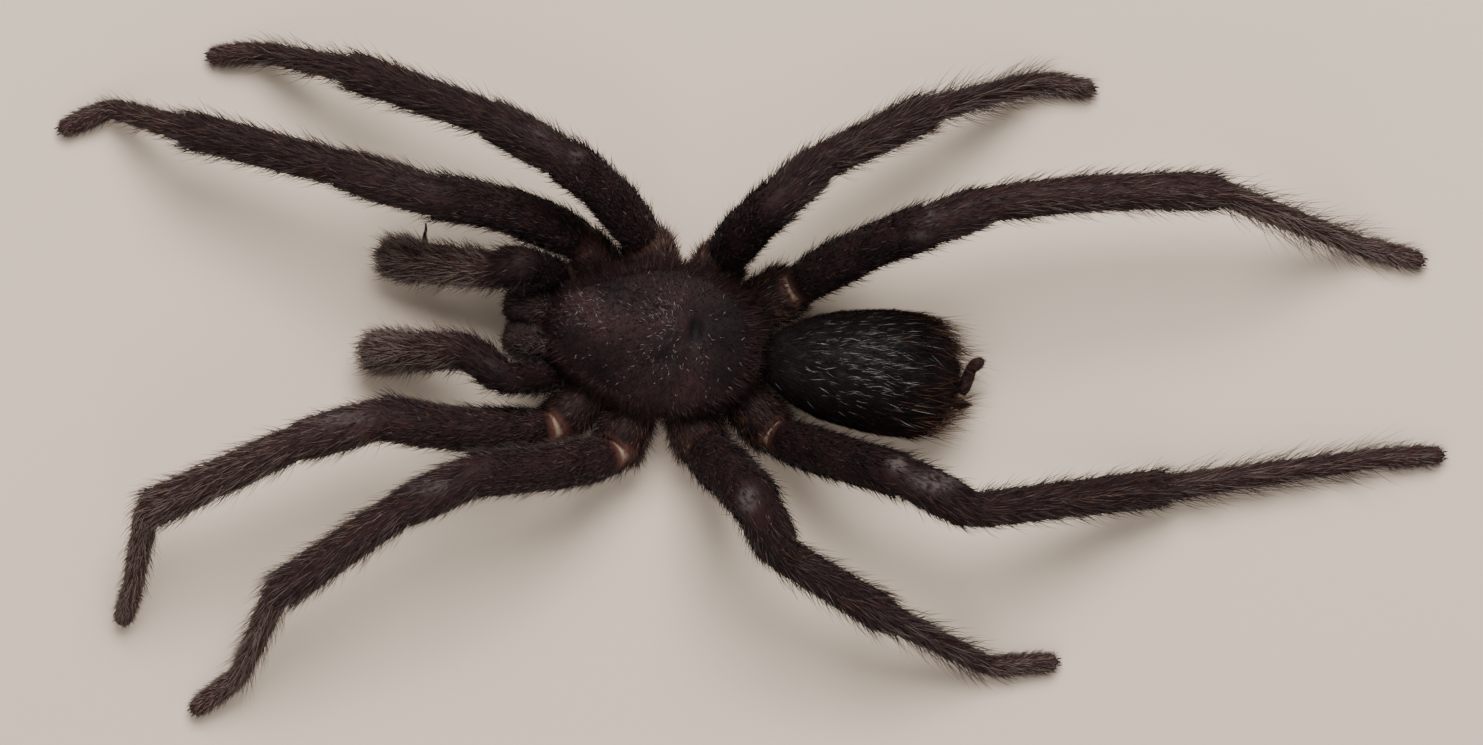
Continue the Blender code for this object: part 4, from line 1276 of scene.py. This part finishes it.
class SPECIMEN_OT_jaws(bpy.types.Operator):
    """Build the two jaws with their bristles, and the fangs folded under them"""

    bl_idname = "specimen.jaws"
    bl_label = "Jaws"

    def execute(self, context):
        sizes, colours = context.scene.specimen_sizes, context.scene.specimen_colours
        skin_look = skin_material("jaw skin", colours.shell, colours)
        hair_look = leg_hair_material(colours)
        glossy = new_material("fang shell", 0.18, 0.6, 0.4)[0]
        glossy.node_tree.nodes["Principled BSDF"].inputs["Base Color"].default_value = rgba(colours.dark_hair)
        for seed, (side_name, side) in enumerate((("right", 1.0), ("left", -1.0)), start=51):
            across = side * JAW_OFFSET + JAW_SHIFT
            setback = JAW_SETBACK if side < 0.0 else 0.0
            stations = [(*on_chest(along + setback, across, z), width, height)
                        for along, z, width, height in JAW_STATIONS]
            tube = station_tube(stations, 60)
            grid = tube_grid(tube, 40)
            jaw = closed_skin(f"chelicera_{side_name}_skin", grid)
            place_piece(jaw, skin_look, "jaw hair", f"chelicera_{side_name}")
            chance = np.random.default_rng(seed)
            width = sizes.hair_width / MM
            last = len(tube.along) - 1.0
            ring, angle = scatter(tube, 4200, chance)
            shorter = 1.0 - 0.65 * ramp(0.55, 0.9, ring / last)
            tone = chance.uniform(0.25, 0.72, len(ring))
            coat = combed(tube, ring, angle, chance, 0.5, 0.7 * shorter, width, tone, swirl=0.5)
            ring, angle = scatter(tube, 800, chance)
            shorter = 1.0 - 0.6 * ramp(0.55, 0.9, ring / last)
            tone = np.where(chance.random(len(ring)) < 0.1, 0.96, chance.uniform(0.15, 0.5, len(ring)))
            bristles = combed(tube, ring, angle, chance, 0.7, 1.1 * shorter, width, tone, rings=2, swirl=0.7)
            ring, angle = scatter(tube, 6500, chance, lambda ring, angle: (
                (-side * np.cos(angle) > 0.25) * (ring > 0.5 * last)))
            count = len(ring)
            roots, outward, _ = on_tube(tube, ring, angle, np.full(count, -0.06))
            aims = unit(0.3 * outward - side * tube.side[30] + chance.normal(0.0, 0.3, (count, 3)))
            between = (roots, aims, np.zeros((count, 3)), chance.uniform(0.35, 0.75, count),
                       np.full(count, width), chance.uniform(0.1, 0.5, count), 1)
            hair = hair_object(f"chelicera_{side_name}_hair", (coat, bristles, between))
            place_piece(hair, hair_look, "jaw hair")

            stations = [(*on_chest(along, across, z), width) for along, z, width in FANG_STATIONS]
            fang = closed_skin(f"fang_{side_name}_shell", tube_grid(station_tube(stations, 48), 20))
            place_piece(fang, glossy, "dark shell", f"fang_{side_name}")
        return {"FINISHED"}


class SPECIMEN_OT_claws(bpy.types.Operator):
    """Build the pair of small claws at the tip of each leg"""

    bl_idname = "specimen.claws"
    bl_label = "Claws"

    def execute(self, context):
        glossy = new_material("claw shell", 0.2, 0.6, 0.3)[0]
        glossy.node_tree.nodes["Principled BSDF"].inputs["Base Color"].default_value = (0.012, 0.009, 0.008, 1.0)
        for name, joints in LEG_JOINTS.items():
            ends = np.array(joints[-2:])
            out = unit((ends[1] - ends[0]) * (1.0, 1.0, 0.0))
            across = np.cross(out, UP)
            for label, side in (("a", 1.0), ("b", -1.0)):
                root = ends[1] - out * 0.35 + across * side * 0.22 + UP * 0.2
                reach = np.array((0.0, 0.18, 0.36, 0.5, 0.56))
                lift = np.array((0.0, 0.1, 0.06, -0.1, -0.3))
                path = root + reach[:, None] * out + lift[:, None] * UP
                stations = [(*place, width) for place, width in zip(path, (0.16, 0.15, 0.12, 0.07, 0.02))]
                claw = closed_skin(f"{name}_claw_{label}", tube_grid(station_tube(stations, 20), 12))
                place_piece(claw, glossy, "dark shell")
        return {"FINISHED"}


class SPECIMEN_OT_stage(bpy.types.Operator):
    """Set up the plain pale floor, the soft light and the camera straight above"""

    bl_idname = "specimen.stage"
    bl_label = "Studio"

    def execute(self, context):
        colours = context.scene.specimen_colours
        middle = (VIEW_MIDDLE - SPREAD_MIDDLE) * MM
        reach = 0.6
        corners = [(-reach, -reach, 0.0), (reach, -reach, 0.0), (reach, reach, 0.0), (-reach, reach, 0.0)]
        mesh = bpy.data.meshes.new("floor")
        mesh.from_pydata(corners, [], [(0, 1, 2, 3)])
        floor = bpy.data.objects.new("floor", mesh)
        context.scene.collection.objects.link(floor)
        material, shader, start = new_material("pale floor", 0.85, 0.2)
        shader.inputs["Base Color"].default_value = rgba(colours.floor)
        mesh.materials.append(material)

        camera_data = bpy.data.cameras.new("camera")
        camera_data.sensor_width = SENSOR_WIDTH
        camera_data.lens = SENSOR_WIDTH * CAMERA_HEIGHT / VIEW_WIDTH
        camera_data.clip_start = 0.01
        camera = bpy.data.objects.new("camera", camera_data)
        camera.location = (middle[0], middle[1], CAMERA_HEIGHT * MM)
        context.scene.collection.objects.link(camera)
        context.scene.camera = camera

        for name, place, size, power in (
            ("key light", (0.02, 0.25, 0.38), 0.24, 4.6),
            ("fill light", (-0.10, -0.35, 0.45), 0.5, 1.6),
        ):
            light_data = bpy.data.lights.new(name, "AREA")
            light_data.size = size
            light_data.energy = power
            light = bpy.data.objects.new(name, light_data)
            light.location = place
            aim = unit(np.array(place))
            light.rotation_euler = (np.arctan2(np.hypot(aim[0], aim[1]), aim[2]), 0.0,
                                    np.arctan2(aim[1], aim[0]) + np.pi / 2.0)
            context.scene.collection.objects.link(light)

        world = bpy.data.worlds.new("studio")
        world.use_nodes = True
        background = world.node_tree.nodes["Background"]
        background.inputs["Color"].default_value = (1.0, 0.98, 0.96, 1.0)
        background.inputs["Strength"].default_value = 0.6
        context.scene.world = world
        return {"FINISHED"}


class SPECIMEN_PT_panel(bpy.types.Panel):
    """Sizes, colours and one button for each group of pieces"""

    bl_idname = "SPECIMEN_PT_panel"
    bl_label = "Specimen"
    bl_space_type = "VIEW_3D"
    bl_region_type = "UI"
    bl_category = "Specimen"

    def draw(self, context):
        for settings in (context.scene.specimen_sizes, context.scene.specimen_colours):
            box = self.layout.box()
            for key in settings.__annotations__:
                box.prop(settings, key)
        for operator in OPERATORS:
            self.layout.operator(operator.bl_idname)


OPERATORS = (
    SPECIMEN_OT_shield, SPECIMEN_OT_abdomen, SPECIMEN_OT_jaws, SPECIMEN_OT_palps, SPECIMEN_OT_legs,
    SPECIMEN_OT_claws, SPECIMEN_OT_stage,
)
CLASSES = (SpecimenSizes, SpecimenColours, *OPERATORS, SPECIMEN_PT_panel)


def register():
    """Makes the settings, the operators and the panel known."""
    for item in CLASSES:
        bpy.utils.register_class(item)
    bpy.types.Scene.specimen_sizes = bpy.props.PointerProperty(type=SpecimenSizes)
    bpy.types.Scene.specimen_colours = bpy.props.PointerProperty(type=SpecimenColours)


def unregister():
    """Takes them away again."""
    del bpy.types.Scene.specimen_colours
    del bpy.types.Scene.specimen_sizes
    for item in reversed(CLASSES):
        bpy.utils.unregister_class(item)


def main():
    """Builds everything in order."""
    register()
    bpy.ops.specimen.shield()
    bpy.ops.specimen.abdomen()
    bpy.ops.specimen.jaws()
    bpy.ops.specimen.palps()
    bpy.ops.specimen.legs()
    bpy.ops.specimen.claws()
    bpy.ops.specimen.stage()


if __name__ == "__main__":
    main()
